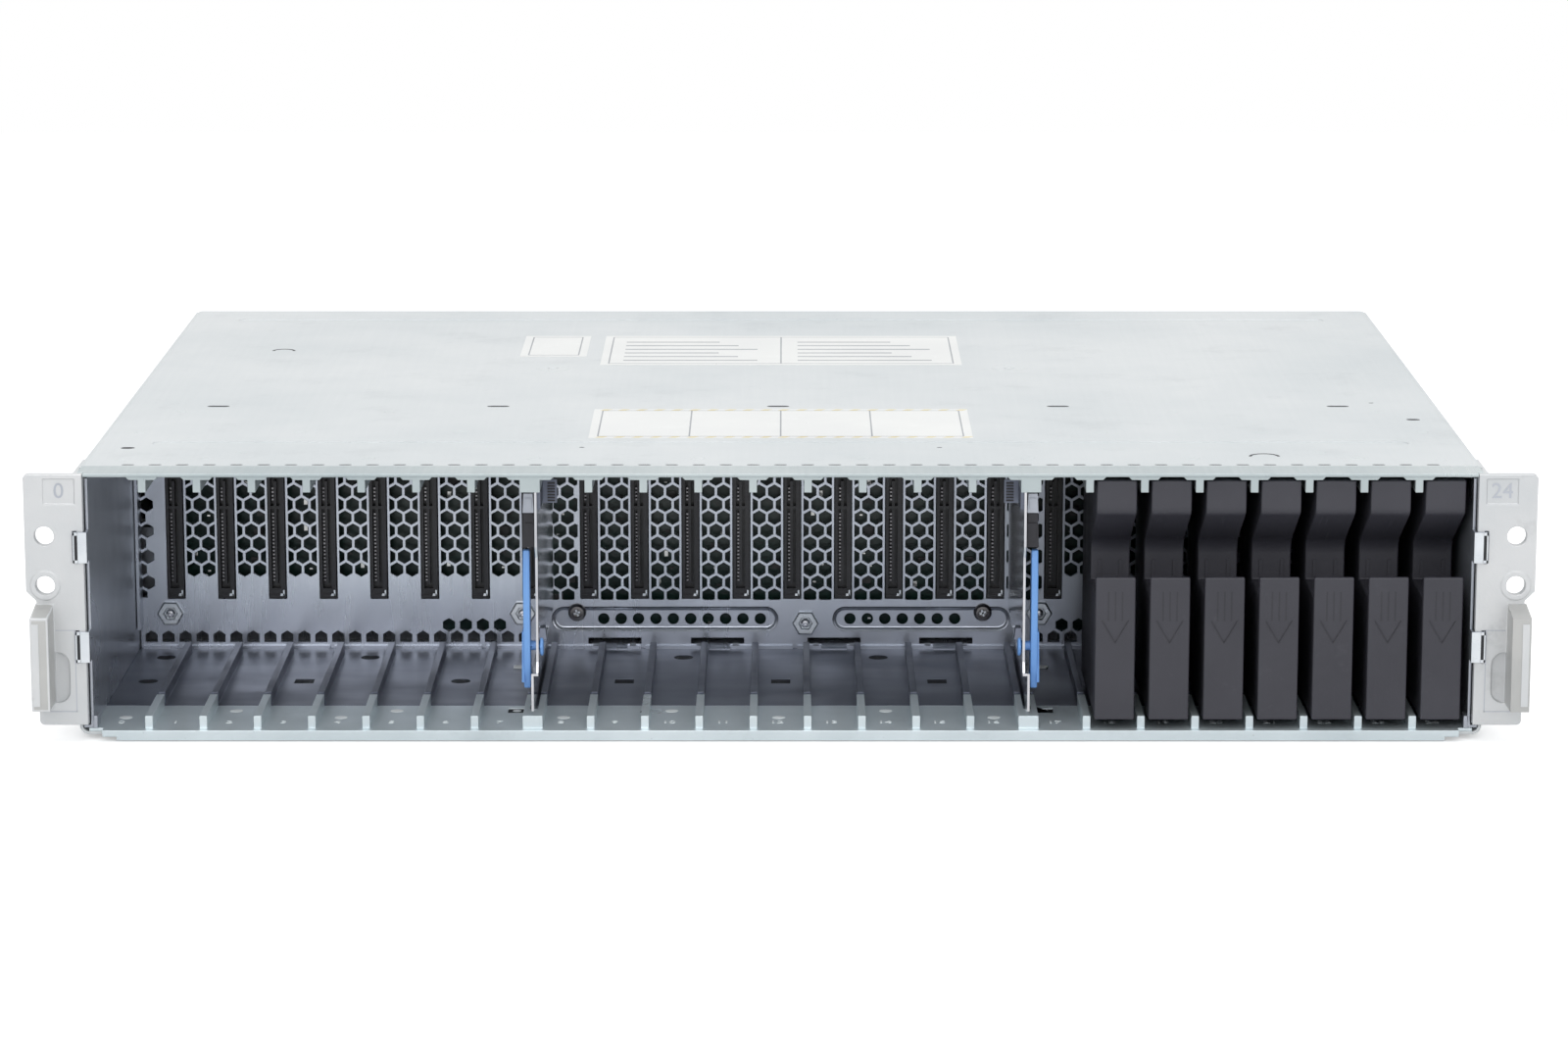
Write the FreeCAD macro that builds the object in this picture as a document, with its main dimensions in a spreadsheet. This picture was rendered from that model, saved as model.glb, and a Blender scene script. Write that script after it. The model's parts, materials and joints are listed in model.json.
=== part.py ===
# Two-unit rack disk shelf: sheet-metal shell, drive cage with 25 upright slots, honeycomb
# midplane shield, and two power modules and two link modules at the rear.
# Millimetres. X across the rack, Y from the rack ears' face to the rear, Z up.
import FreeCAD, Part
import Sketcher
import math
import os

doc = FreeCAD.newDocument("DiskShelf")

# ---- driving dimensions ----------------------------------------------------------------------

dimensions = [
    # slots and rails
    ("slotCount", 25, "drive slots across the cage"),
    ("sideSlots", 8, "slots outside each divider"),
    ("slotPitch", 17.3, "slot to slot"),
    ("dividerGap", 2.4, "extra pitch at each divider"),
    ("railWidth", 2.5, "front guide rail"),
    ("rearRailWidth", 2.2, "rear guide rail"),
    ("railHeight", 4.0, "guide rail above its sheet"),
    ("wideRail", 6.4, "rail that carries a divider"),
    ("railStart", 3.1, "rail nose behind the ear face"),
    ("railBlock", 10.0, "solid nose of a wide rail"),
    ("channelWidth", 2.4, "groove of a wide rail"),
    ("frontGuideDepth", 34.0, "depth of the front guide strips"),
    ("railEnd", 1.0, "front rail end before its strip's edge"),
    ("railInset", 2.0, "rear rail behind its sheet's front edge"),
    # shell
    ("shellSheet", 1.0, "shell sheet"),
    ("guideSheet", 1.1, "guide strip sheet"),
    ("linerSheet", 1.0, "side liner sheet"),
    ("bayMargin", 0.3, "last slot to side liner"),
    ("sideGap", 2.5, "side liner to shell wall"),
    ("shellHeight", 86.4, "overall height"),
    ("lipDrop", 1.2, "shell floor above the resting plane"),
    ("shellRear", 330.0, "ear face to shell rear edge"),
    ("shellSetback", 3.5, "ear face to shell front edge"),
    ("bendRadius", 2.9, "outer radius of the shell bends"),
    ("coverFlange", 10.0, "cover flange inside the walls"),
    ("coverSeam", 13.8, "front edge of the cover"),
    ("seamGap", 0.2, "gap of the cover seam"),
    ("hemDepth", 8.0, "hem under the rear edge"),
    ("beadWidth", 7.0, "stiffening bead"),
    ("beadDepth", 0.5, "bead depth"),
    ("beadInset", 22.5, "bead end to shell side, bead to shell rear"),
    ("beadFront", 53.5, "front bead behind the ear face"),
    ("lipInset", 7.5, "front lip end to side liner"),
    ("lipStep", 4.5, "shallow end of the front lip"),
    ("tabWidth", 10.5, "ceiling tab at a rail"),
    ("tabReach", 5.0, "ceiling tab length"),
    ("past", 1.0, "how far a cutter runs past a face"),
    # midplane
    ("shieldFront", 117.5, "ear face to midplane shield"),
    ("shieldSheet", 1.0, "midplane shield sheet"),
    ("shieldFlange", 8.0, "folded edges of the shield"),
    ("hexPitch", 5.2, "honeycomb pitch"),
    ("hexFlats", 4.15, "honeycomb hole across flats"),
    ("hexRows", 11, "honeycomb rows between the dividers"),
    ("sideHexRows", 9, "honeycomb rows outside the dividers"),
    ("hexTop", 66.4, "height of the top honeycomb row"),
    ("ventPitch", 5.8, "pitch of the lower vent row"),
    ("ventFoot", 5.4, "foot of the lower vent row"),
    ("ventGable", 0.35, "part of a lower vent's height that is its gable"),
    ("ventStart", 3.6, "first lower vent beside the shield's edge"),
    ("slotVent", 2.0, "height of the slots under the embosses"),
    ("slotVent1", -64.0, "start of the first slot vent beside the centre"),
    ("slotVent2", -29.0, "start of the second"),
    ("slotVent3", 10.8, "start of the third"),
    ("slotVent4", 49.0, "start of the fourth"),
    ("connectorShift", 4.2, "drive connector beside its slot centre"),
    ("connectorCut", 6.0, "connector opening in the shield"),
    ("connectorFoot", 20.8, "lower end of the connector opening"),
    ("connectorHead", 66.4, "upper end of the connector opening"),
    ("connectorPlay", 0.4, "connector to its opening, each side"),
    ("mouthWidth", 1.8, "mouth of a drive connector"),
    ("mouthDepth", 2.6, "depth of that mouth"),
    ("mouthEnd", 2.0, "connector end beyond its mouth"),
    ("boardGap", 3.5, "shield to midplane board"),
    ("boardSheet", 2.4, "midplane board"),
    ("boardInset", 5.5, "board edge to side liner"),
    ("nutFlats", 7.0, "captive nut across flats"),
    ("nutInset", 10.5, "outer nuts from the side liners"),
    ("nutBeside", 9.1, "inner nuts outside the dividers"),
    ("nutMiddle", 8.4, "middle nut beside the centre"),
    ("nutMiddleDrop", 3.6, "middle nut below the others"),
    ("nutHeight", 1.6, "captive nut and screw head height"),
    ("spacerFlats", 4.0, "board spacer across flats"),
    ("screwHead", 6.4, "board screw head"),
    ("fastenerHeight", 14.9, "height of the nuts and screws"),
    ("embossHeight", 12.7, "height of the two long embosses"),
    ("embossWidth", 6.2, "width of the long embosses"),
    ("embossDepth", 0.6, "depth of the long embosses"),
    ("embossInset", 2.0, "emboss ends from the dividers"),
    ("embossBreak", 0.6, "left emboss end beside the centre"),
    ("embossSecond", 19.3, "start of the right emboss beside the centre"),
    ("roundVent", 4.0, "round hole in an emboss"),
    ("roundVentPitch", 5.93, "pitch of the round holes"),
    # ears
    ("rackHoleReach", 9.1, "rack hole column outside the shell, for 465.1 between columns"),
    ("rackPitch", 15.875, "rack hole rows, standard rack unit third"),
    ("rackHole", 6.2, "rack screw hole"),
    ("rackHoleHeight", 50.5, "lower rack hole"),
    ("rackRing", 1.6, "raised ring round the lower rack hole"),
    ("ringHeight", 0.5, "height of that ring"),
    ("earCorner", 1.5, "ear corner radius"),
    ("panelWidth", 9.9, "recess for the slot number"),
    ("panelHeight", 8.0, "height of that recess"),
    ("panelTop", 1.5, "recess below the ear's top"),
    ("panelDepth", 0.5, "depth of that recess"),
    ("earReach", 6.2, "rack hole to the ear's outer edge"),
    ("earSheet", 3.3, "ear casting"),
    ("earOverlap", 3.3, "ear over the shell edge"),
    ("earFoot", 5.1, "lower end of the ear"),
    ("earHead", 0.2, "top of the ear below the shell top"),
    ("earNeck", 3.2, "step in the ear's outer edge"),
    ("earNeckHeight", 45.4, "height of that step"),
    ("handleReach", 12.0, "pull bar in front of the ear"),
    ("handleWidth", 5.8, "pull bar width"),
    ("handleFoot", 12.3, "lower end of the pull bar"),
    ("handleHead", 42.4, "upper front end of the pull bar"),
    ("handleSlant", 2.0, "rise of the bar's top towards the ear"),
    ("handleInset", 0.55, "bar outside the ear's lower edge"),
    ("pocketWidth", 4.6, "finger recess beside the pull bar"),
    ("pocketHeight", 16.4, "height of that recess"),
    ("pocketRound", 4.0, "corner radius of that recess"),
    ("pocketDepth", 1.6, "depth of that recess"),
    ("earFlange", 2.2, "ear flange along the shell side"),
    ("earFlangeDepth", 42.0, "rear end of that flange"),
    ("earFlangeInset", 3.0, "flange ends from the ear's ends"),
    ("hookHeight", 10.0, "liner hook on the ear"),
    ("hookPitch", 32.2, "hook to hook"),
    ("hookRise", 7.3, "upper hook above the lower rack hole"),
    ("hookReach", 3.4, "hook over the ear face"),
    ("hookSheet", 0.9, "hook thickness"),
    ("earScrew", 5.0, "ear screw head"),
    ("earScrewInset", 12.0, "ear screws before the flange's rear end"),
    ("earScrewEnd", 17.3, "ear screws from the shelf's top and foot"),
    # dividers
    ("dividerSheet", 0.9, "divider sheet"),
    ("dividerFront", 5.0, "front edge of a divider"),
    ("dividerJog", 1.5, "sideways jog of a divider"),
    ("dividerJogHeight", 19.8, "height of the jog"),
    ("dividerNotch", 3.0, "depth of the notch in a divider's front edge"),
    ("dividerNotchHead", 42.0, "notch head above the jog"),
    ("dividerNotchEase", 4.0, "slanted ends of that notch"),
    ("latchFoot", 14.8, "lower end of the blue latch"),
    ("latchHead", 59.8, "upper end of the blue latch"),
    ("latchInset", 3.0, "latch behind the divider's front edge"),
    ("latchTip", 2.0, "narrowing at the latch ends"),
    ("latchTaper", 8.0, "length of the latch's tapered ends"),
    ("latchWidth", 2.2, "latch thickness"),
    ("latchDepth", 7.0, "latch front to back"),
    ("latchPivot", 28.5, "height of the latch pivot"),
    ("latchPin", 3.0, "latch pivot pin"),
    ("latchButton", 6.4, "latch button behind the divider"),
    # slot fillers
    ("fillerCount", 7, "slot fillers, at the right"),
    ("fillerWidth", 12.7, "slot filler"),
    ("fillerFront", 2.0, "filler face behind the ear face"),
    ("fillerDepth", 68.0, "filler front to back"),
    ("fillerWall", 1.5, "filler wall"),
    ("fillerRecess", 20.0, "finger recess depth"),
    ("fillerFoot", 6.3, "lower end of the filler face"),
    ("fillerTopGap", 0.4, "filler below the ceiling sheet"),
    ("fillerTabHeight", 10.4, "top tab of the filler"),
    ("fillerSlope", 13.0, "height of the curve below the tab"),
    ("recessFoot", 52.4, "top of the lower block"),
    ("fillerTabRound", 6.0, "bend below the top tab"),
    ("fillerRecessRound", 9.0, "bend into the recess"),
    ("fillerRib", 6.0, "guide rib under a filler"),
    ("runGap", 0.3, "running gap of pieces that slide"),
    # rear modules
    ("moduleFront", 134.0, "front of the rear modules"),
    ("moduleSheet", 1.0, "module sheet"),
    ("faceSheet", 2.0, "rear plate of a module"),
    ("moduleGap", 0.8, "gap beside a module"),
    ("wallSheet", 1.2, "rear centre wall"),
    ("wallInset", 2.0, "centre wall before the shell's rear edge"),
    ("shelfInset", 5.0, "shelf before the shell's rear edge"),
    ("plugWidth", 48.0, "connector of a rear module"),
    ("plugHeight", 10.0, "height of that connector"),
    ("windowInset", 20.0, "power module's front window from its sides"),
    ("windowEdge", 8.0, "that window from its top and foot"),
    ("powerHeight", 40.0, "power module"),
    ("shelfSheet", 1.0, "shelf between the modules"),
    ("linkTopGap", 3.3, "link module below the cover"),
    ("fanPlay", 0.6, "fan frame inside the power module, both sides"),
    ("fanWall", 0.9, "fan frame wall at its thinnest"),
    ("fanTipGap", 1.1, "blade tip to frame"),
    ("fanDepth", 26.0, "fan frame depth"),
    ("fanHub", 17.0, "fan hub"),
    ("fanShaft", 3.0, "fan shaft"),
    ("shaftEnd", 8.0, "fan shaft and hub shorter than the frame"),
    ("shaftPlay", 0.05, "radial running fit"),
    ("grilleRim", 1.0, "fan opening inside the fan bore"),
    ("grilleBar", 1.6, "cross bars over a fan"),
    ("spiderSheet", 2.0, "bar that carries the fan shaft"),
    ("spiderHeight", 6.0, "height of that bar"),
    ("rotorGap", 1.0, "rotor behind that bar"),
    ("bladeCount", 5, "blades of a fan"),
    ("bladeSheet", 1.2, "fan blade"),
    ("bladeInset", 2.0, "blade shorter than the hub at each end"),
    ("bladeRoot", 6.0, "blade start from the shaft"),
    ("bladePitch", 35.0, "blade angle in degrees"),
    ("inletGap", 10.0, "mains inlet beyond the second fan"),
    ("inletWidth", 28.0, "mains inlet"),
    ("inletHeight", 20.0, "height of the mains inlet"),
    ("inletDepth", 22.0, "depth of the mains inlet"),
    ("inletRim", 3.0, "rim round the inlet's mouth"),
    ("inletFloor", 6.0, "inlet block behind its mouth"),
    ("inletProud", 1.0, "inlet rim behind the rear plate"),
    ("pinWidth", 2.0, "mains pin"),
    ("pinHeight", 4.0, "height of a mains pin"),
    ("pinPitch", 7.0, "mains pin to mains pin"),
    ("pinStagger", 4.5, "middle pin below the others"),
    ("pinSetback", 3.0, "pin tips inside the rear plate"),
    ("fanPitch", 42.0, "fan to fan"),
    ("fanInset", 24.0, "first fan to the module's outer side"),
    ("leverLength", 62.0, "module lever"),
    ("leverHeight", 9.0, "lever height"),
    ("leverSheet", 4.0, "lever thickness"),
    ("leverInset", 9.0, "lever pivot from the module's inner side"),
    ("leverStandoff", 5.4, "lever pivot behind the module face"),
    ("leverPin", 3.0, "lever pin"),
    ("lugSheet", 2.0, "lug beside the lever"),
    ("lugMargin", 1.5, "lug round the lever's pin"),
    ("powerLeverFoot", 5.0, "power lever's lower lug above its module's foot"),
    ("linkLeverFoot", 3.0, "link lever's lower lug above its module's foot"),
    ("trayWall", 14.0, "side walls of a link tray"),
    ("trayVents", 5, "vents in a link tray's plate"),
    ("trayVentPitch", 11.0, "vent to vent"),
    ("trayVentWidth", 8.0, "vent width"),
    ("trayVentHeight", 5.0, "vent height"),
    ("trayVentTop", 4.0, "vents below the plate's top"),
    ("portInset", 30.0, "first cable port from the module's outer side"),
    ("portPitch", 30.0, "cable port to cable port"),
    ("portWidth", 20.0, "cable port"),
    ("portHeight", 11.5, "height of a cable port"),
    ("portFoot", 9.5, "cable ports above the tray's foot"),
    ("portDepth", 26.0, "depth of a cable port's cage"),
    ("portSheet", 1.0, "cage sheet"),
    ("portProud", 0.8, "cage behind the rear plate"),
    ("linkBoardSheet", 1.6, "link module board"),
    ("boardStandoff", 5.0, "link board above its tray"),
    ("linkBoardInset", 6.0, "link board from the tray's sides"),
    ("linkBoardFront", 2.0, "link board behind its module's front"),
    ("linkBoardRear", 24.0, "link board before the shell's rear edge"),
    ("linkPlugDepth", 10.0, "depth of the plug on a link board"),
    ("spacerInset", 14.0, "board spacers from the module's sides"),
    ("spacerSide", 6.0, "board spacer"),
    ("sinkStart", 60.0, "heat sink behind the module's front"),
    ("sinkLength", 40.0, "heat sink front to back"),
    ("sinkWidth", 40.0, "heat sink across"),
    ("sinkHeight", 16.0, "heat sink above the board"),
    ("sinkBase", 2.0, "base of the heat sink"),
    ("sinkFins", 7, "heat sink fins"),
    ("finSheet", 2.0, "heat sink fin"),
    ("finPitch", 6.0, "fin to fin"),
    ("leverReach", 13.6, "finger end of a lever behind the shell"),
]


class Size:
    # a number together with the sheet expression that makes it

    def __init__(self, number, text):
        self.number = float(number)
        self.text = text

    def joined(self, other, sign, number):
        return Size(number, f"({self.text} {sign} {textOf(other)})")

    def __add__(self, other):
        return self.joined(other, "+", self.number + numberOf(other))

    def __sub__(self, other):
        return self.joined(other, "-", self.number - numberOf(other))

    def __mul__(self, other):
        return self.joined(other, "*", self.number * numberOf(other))

    def __truediv__(self, other):
        return self.joined(other, "/", self.number / numberOf(other))

    def __radd__(self, other):
        return self + other

    def __rmul__(self, other):
        return self * other

    def __rsub__(self, other):
        return Size(numberOf(other) - self.number, f"({textOf(other)} - {self.text})")

    def __neg__(self):
        return 0 - self


def textOf(value):
    return value.text if isinstance(value, Size) else repr(float(value))


def numberOf(value):
    return value.number if isinstance(value, Size) else float(value)


class Dims:
    # every driving dimension as an attribute
    pass


sheet = doc.addObject("Spreadsheet::Sheet", "Dimensions")
dim = Dims()
for row, (alias, number, note) in enumerate(dimensions, start=1):
    sheet.set(f"A{row}", note)
    sheet.set(f"B{row}", str(number))
    sheet.setAlias(f"B{row}", alias)
    setattr(dim, alias, Size(number, "Dimensions." + alias))
doc.recompute()

# ---- places worked out from them -------------------------------------------------------------

slotCount = int(dim.slotCount.number)
sideSlots = int(dim.sideSlots.number)
wideBoundaries = (sideSlots, slotCount - sideSlots)

bayHalf = dim.slotPitch * (slotCount / 2) + dim.dividerGap + dim.bayMargin
shellHalf = bayHalf + dim.linerSheet + dim.sideGap + dim.shellSheet
wallInner = shellHalf - dim.shellSheet
floorTop = dim.lipDrop + dim.shellSheet
guideTop = floorTop + dim.guideSheet
coverUnder = dim.shellHeight - dim.shellSheet
ceilingUnder = coverUnder - dim.guideSheet
shieldBack = dim.shieldFront + dim.shieldSheet
boardFront = shieldBack + dim.boardGap
boardBack = boardFront + dim.boardSheet
rearEnd = dim.shellRear + dim.leverReach
originShift = (dim.handleReach - rearEnd) / 2
floorHalf = shellHalf - dim.bendRadius
rackX = shellHalf + dim.rackHoleReach
fillerHead = ceilingUnder - dim.fillerTopGap
fillerTab = fillerHead - dim.fillerTabHeight
recessHead = fillerTab - dim.fillerSlope
fanSide = dim.powerHeight - dim.moduleSheet * 2 - dim.fanPlay
fanBore = fanSide - dim.fanWall * 2
bladeReach = fanBore / 2 - dim.fanTipGap


def slotCentre(index):
    # slots 0 to 24 from the left, with the extra pitch at each divider
    middle = (slotCount - 1) / 2
    gap = 0
    if index < wideBoundaries[0]:
        gap = -1
    if index >= wideBoundaries[1]:
        gap = 1
    return dim.slotPitch * (index - middle) + dim.dividerGap * gap


def boundary(index):
    # rail centre between slot index-1 and slot index
    return (slotCentre(index - 1) + slotCentre(index)) / 2


# ---- makers ----------------------------------------------------------------------------------

axisTurn = {
    "x": FreeCAD.Rotation(FreeCAD.Vector(0, 1, 0), 90),
    "y": FreeCAD.Rotation(FreeCAD.Vector(1, 0, 0), -90),
    "z": FreeCAD.Rotation(),
}


def place(item, corner, turn=None):
    if turn is not None:
        item.Placement = FreeCAD.Placement(FreeCAD.Vector(), turn)
    for axis, value in zip("xyz", corner):
        item.setExpression("Placement.Base." + axis, textOf(value))
    return item


def box(low, high):
    item = doc.addObject("Part::Box", "Block")
    for side, a, b in zip(("Length", "Width", "Height"), low, high):
        item.setExpression(side, textOf(b - a))
    return place(item, low)


def rod(start, radius, length, axis):
    item = doc.addObject("Part::Cylinder", "Rod")
    item.setExpression("Radius", textOf(radius))
    item.setExpression("Height", textOf(length))
    return place(item, start, axisTurn[axis])


def polygonBar(start, flats, length, axis, sides=6):
    # an upright bar with flat sides, flats apart
    outline = doc.addObject("Part::RegularPolygon", "Outline")
    outline.Polygon = sides
    outline.setExpression("Circumradius", textOf(flats / (2 * math.cos(math.pi / sides))))
    place(outline, start, axisTurn[axis])
    bar = doc.addObject("Part::Extrusion", "Bar")
    bar.Base = outline
    bar.DirMode = "Normal"
    bar.Solid = True
    bar.setExpression("LengthFwd", textOf(length))
    return bar


def fuse(items):
    if len(items) == 1:
        return items[0]
    item = doc.addObject("Part::MultiFuse", "Joined")
    item.Shapes = items
    item.Refine = True
    return item


def cut(base, tools):
    item = doc.addObject("Part::Cut", "Trimmed")
    item.Base = base
    item.Tool = fuse(tools)
    item.Refine = True
    return item


def mirrored(item):
    twin = doc.addObject("Part::Mirroring", "Mirrored")
    twin.Source = item
    twin.Normal = FreeCAD.Vector(1, 0, 0)
    return twin


def group(items):
    item = doc.addObject("Part::Compound", "Group")
    item.Links = items
    return item


# sketch plane, sketch normal along that axis
planes = {"xz": ("XZ_Plane", -1, (0, 2)), "yz": ("YZ_Plane", 1, (1, 2)), "xy": ("XY_Plane", 1, (0, 1))}


def edgesAt(shape, plane, points):
    # names of the straight edges that run along the pad at the given outline points
    inPlane = planes[plane][2]
    names = []
    for number, edge in enumerate(shape.Edges, start=1):
        ends = [vertex.Point for vertex in edge.Vertexes]
        if len(ends) < 2 or edge.Curve.TypeId != "Part::GeomLine":
            continue
        if any(abs(ends[0][axis] - ends[1][axis]) > 1e-5 for axis in inPlane):
            continue
        for point in points:
            if all(abs(ends[0][axis] - numberOf(value)) < 1e-4 for axis, value in zip(inPlane, point)):
                names.append(f"Edge{number}")
    return names


def profile(plane, outline, start, length, rounds=()):
    # a padded sketch: outline points in the plane, from start over length along its axis;
    # rounds is a list of (outline point numbers, radius)
    role, normal, _ = planes[plane]
    body = doc.addObject("PartDesign::Body", "Profile")
    sketch = body.newObject("Sketcher::SketchObject", "Outline")
    support = [item for item in body.Origin.OriginFeatures if item.Role == role][0]
    sketch.AttachmentSupport = (support, [""])
    sketch.MapMode = "FlatFace"
    corners = [FreeCAD.Vector(numberOf(a), numberOf(b), 0) for a, b in outline]
    count = len(corners)
    sketch.addGeometry([Part.LineSegment(corners[i], corners[(i + 1) % count]) for i in range(count)])
    for i in range(count):
        sketch.addConstraint(Sketcher.Constraint("Coincident", i, 2, (i + 1) % count, 1))
    for i, point in enumerate(outline):
        for kind, value in zip(("DistanceX", "DistanceY"), point):
            number = sketch.addConstraint(Sketcher.Constraint(kind, -1, 1, i, 1, numberOf(value)))
            sketch.setExpression(f"Constraints[{number}]", textOf(value))
    sketch.setExpression("AttachmentOffset.Base.z", textOf(start * normal))
    pad = body.newObject("PartDesign::Pad", "Pad")
    pad.Profile = sketch
    pad.Reversed = normal < 0
    pad.setExpression("Length", textOf(length))
    doc.recompute()
    last = pad
    for numbers, radius in rounds:
        rounding = body.newObject("PartDesign::Fillet", "Rounding")
        rounding.Base = (last, edgesAt(last.Shape, plane, [outline[i] for i in numbers]))
        rounding.setExpression("Radius", textOf(radius))
        doc.recompute()
        last = rounding
    body.Tip = last
    return body


def shaped(shape):
    # a shape made outright, where no primitive or sketch fits
    item = doc.addObject("Part::Feature", "Shaped")
    item.Shape = shape
    return item


pieces = []


def piece(name, item):
    # the finished sub-part: named, and moved to the shelf's own origin
    holder = group([item])
    holder.Label = name
    holder.setExpression("Placement.Base.y", textOf(originShift))
    pieces.append(holder)
    return holder


# ---- shell -----------------------------------------------------------------------------------

def shellBase():
    # floor and side walls bent from one sheet, with a hem under the rear edge
    wallTop = dim.shellHeight - dim.bendRadius
    low = dim.lipDrop
    outline = [
        (-shellHalf, low), (shellHalf, low), (shellHalf, wallTop), (wallInner, wallTop),
        (wallInner, floorTop), (-wallInner, floorTop), (-wallInner, wallTop), (-shellHalf, wallTop),
    ]
    depth = dim.shellRear - dim.shellSetback
    inner = dim.bendRadius - dim.shellSheet
    tray = profile("xz", outline, dim.shellSetback, depth, [((0, 1), dim.bendRadius), ((4, 5), inner)])
    hemHalf = shellHalf - dim.beadInset
    hem = box((-hemHalf, dim.shellRear - dim.hemDepth, 0), (hemHalf, dim.shellRear, low))
    return fuse([tray, hem])


def topCover():
    # cover sheet with rounded long edges, flanges joggled inside the walls and two long beads
    wallTop = dim.shellHeight - dim.bendRadius
    start = dim.coverSeam + dim.seamGap
    depth = dim.shellRear - start
    bendEnd = wallTop + dim.seamGap / 4
    outline = [
        (-shellHalf, bendEnd), (-shellHalf, dim.shellHeight), (shellHalf, dim.shellHeight),
        (shellHalf, bendEnd), (wallInner, bendEnd), (wallInner, coverUnder),
        (-wallInner, coverUnder), (-wallInner, bendEnd),
    ]
    plate = profile("xz", outline, start, depth, [((1, 2), dim.bendRadius - dim.seamGap / 2)])
    flanges = []
    flangeFoot = wallTop - dim.coverFlange
    for side in (-1, 1):
        outer = wallInner - dim.seamGap / 4
        edges = (side * outer, side * (outer - dim.shellSheet))
        low, high = sorted(edges, key=numberOf)
        flanges.append(box((low, start, flangeFoot), (high, dim.shellRear, coverUnder + dim.beadDepth)))
        bridge = (side * (wallInner + dim.shellSheet / 2), side * (outer - dim.shellSheet))
        low, high = sorted(bridge, key=numberOf)
        flanges.append(box((low, start, bendEnd), (high, dim.shellRear, coverUnder + dim.beadDepth)))
    beads = []
    beadHalf = shellHalf - dim.beadInset
    radius = dim.beadWidth / 2
    for middle in (dim.beadFront, dim.shellRear - dim.beadInset):
        low = dim.shellHeight - dim.beadDepth
        high = dim.shellHeight + dim.past
        beads.append(box((-beadHalf, middle - radius, low), (beadHalf, middle + radius, high)))
        for side in (-1, 1):
            beads.append(rod((side * beadHalf, middle, low), radius, dim.beadDepth + dim.past, "z"))
    return cut(fuse([plate] + flanges), beads)


def ceilingGuide():
    # front strip: flush top sheet back to the seam, then a lower layer with tabs and hanging rails
    topHalf = shellHalf - dim.bendRadius / 2
    frontHalf = shellHalf - dim.earOverlap - dim.seamGap
    lowHalf = wallInner - dim.shellSheet - dim.runGap
    back = dim.frontGuideDepth + dim.tabReach
    parts = [
        box((-frontHalf, 0, coverUnder), (frontHalf, dim.shellSetback, dim.shellHeight)),
        box((-topHalf, dim.shellSetback, coverUnder), (topHalf, dim.coverSeam, dim.shellHeight)),
        box((-lowHalf, dim.tabReach, ceilingUnder), (lowHalf, back, coverUnder)),
    ]
    hang = ceilingUnder - dim.railHeight
    for index in range(1, slotCount):
        middle = boundary(index)
        wide = index in wideBoundaries
        half = dim.tabWidth / 2 + (dim.dividerGap if wide else 0)
        slope = dim.guideSheet
        tab = [
            (middle - half, coverUnder), (middle + half, coverUnder),
            (middle + half - slope, ceilingUnder), (middle - half + slope, ceilingUnder),
        ]
        front = dim.guideSheet / 2
        parts.append(profile("xz", tab, front, dim.tabReach - front + dim.guideSheet))
        if wide:
            halfRail = dim.wideRail / 2
            groove = dim.dividerJog + dim.dividerSheet / 2 + dim.runGap
            noseEnd = dim.dividerFront - dim.runGap
            parts.append(box((middle - halfRail, front, hang), (middle + halfRail, noseEnd, ceilingUnder)))
            for side in (-1, 1):
                edges = sorted((middle + side * halfRail, middle + side * groove), key=numberOf)
                parts.append(box((edges[0], noseEnd, hang), (edges[1], back, ceilingUnder)))
        else:
            halfRail = dim.railWidth / 2
            parts.append(box((middle - halfRail, front, hang), (middle + halfRail, back, ceilingUnder)))
    return fuse(parts)


def floorRails(start, end, width):
    # upright guide rails on a floor strip; the wide ones are grooved for a divider
    parts = []
    top = guideTop + dim.railHeight
    for index in range(1, slotCount):
        middle = boundary(index)
        if index in wideBoundaries:
            half = dim.wideRail / 2
            for side in (-1, 1):
                edges = (middle + side * half, middle + side * (dim.channelWidth / 2))
                low, high = sorted(edges, key=numberOf)
                parts.append(box((low, start, guideTop), (high, end, top)))
        else:
            parts.append(box((middle - width / 2, start, guideTop), (middle + width / 2, end, top)))
    return parts


def frontFloor():
    # floor strip with the stepped front lip
    parts = [
        box((-floorHalf, dim.shellSetback, floorTop), (floorHalf, dim.frontGuideDepth, guideTop)),
    ]
    lipHalf = bayHalf - dim.lipInset
    stepHalf = lipHalf + dim.lipStep
    parts.append(box((-stepHalf, 0, floorTop), (stepHalf, dim.shellSetback + dim.guideSheet, guideTop)))
    parts.append(box((-stepHalf, 0, dim.lipDrop), (stepHalf, dim.guideSheet, guideTop)))
    parts.append(box((-lipHalf, 0, 0), (lipHalf, dim.guideSheet, guideTop)))
    parts += floorRails(dim.railStart, dim.frontGuideDepth - dim.railEnd, dim.railWidth)
    for index in wideBoundaries:
        middle = boundary(index)
        half = dim.wideRail / 2
        end = dim.railStart + dim.railBlock
        top = guideTop + dim.railHeight
        parts.append(box((middle - half, dim.railStart, guideTop), (middle + half, end, top)))
    return fuse(parts)


def mainFloor():
    # floor sheet from the front strip to behind the shield
    start = dim.frontGuideDepth + dim.seamGap
    end = shieldBack + dim.shieldFlange
    plate = box((-floorHalf, start, floorTop), (floorHalf, end, guideTop))
    rails = floorRails(start + dim.railInset, dim.shieldFront - dim.shieldFlange, dim.rearRailWidth)
    return fuse([plate] + rails)


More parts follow.
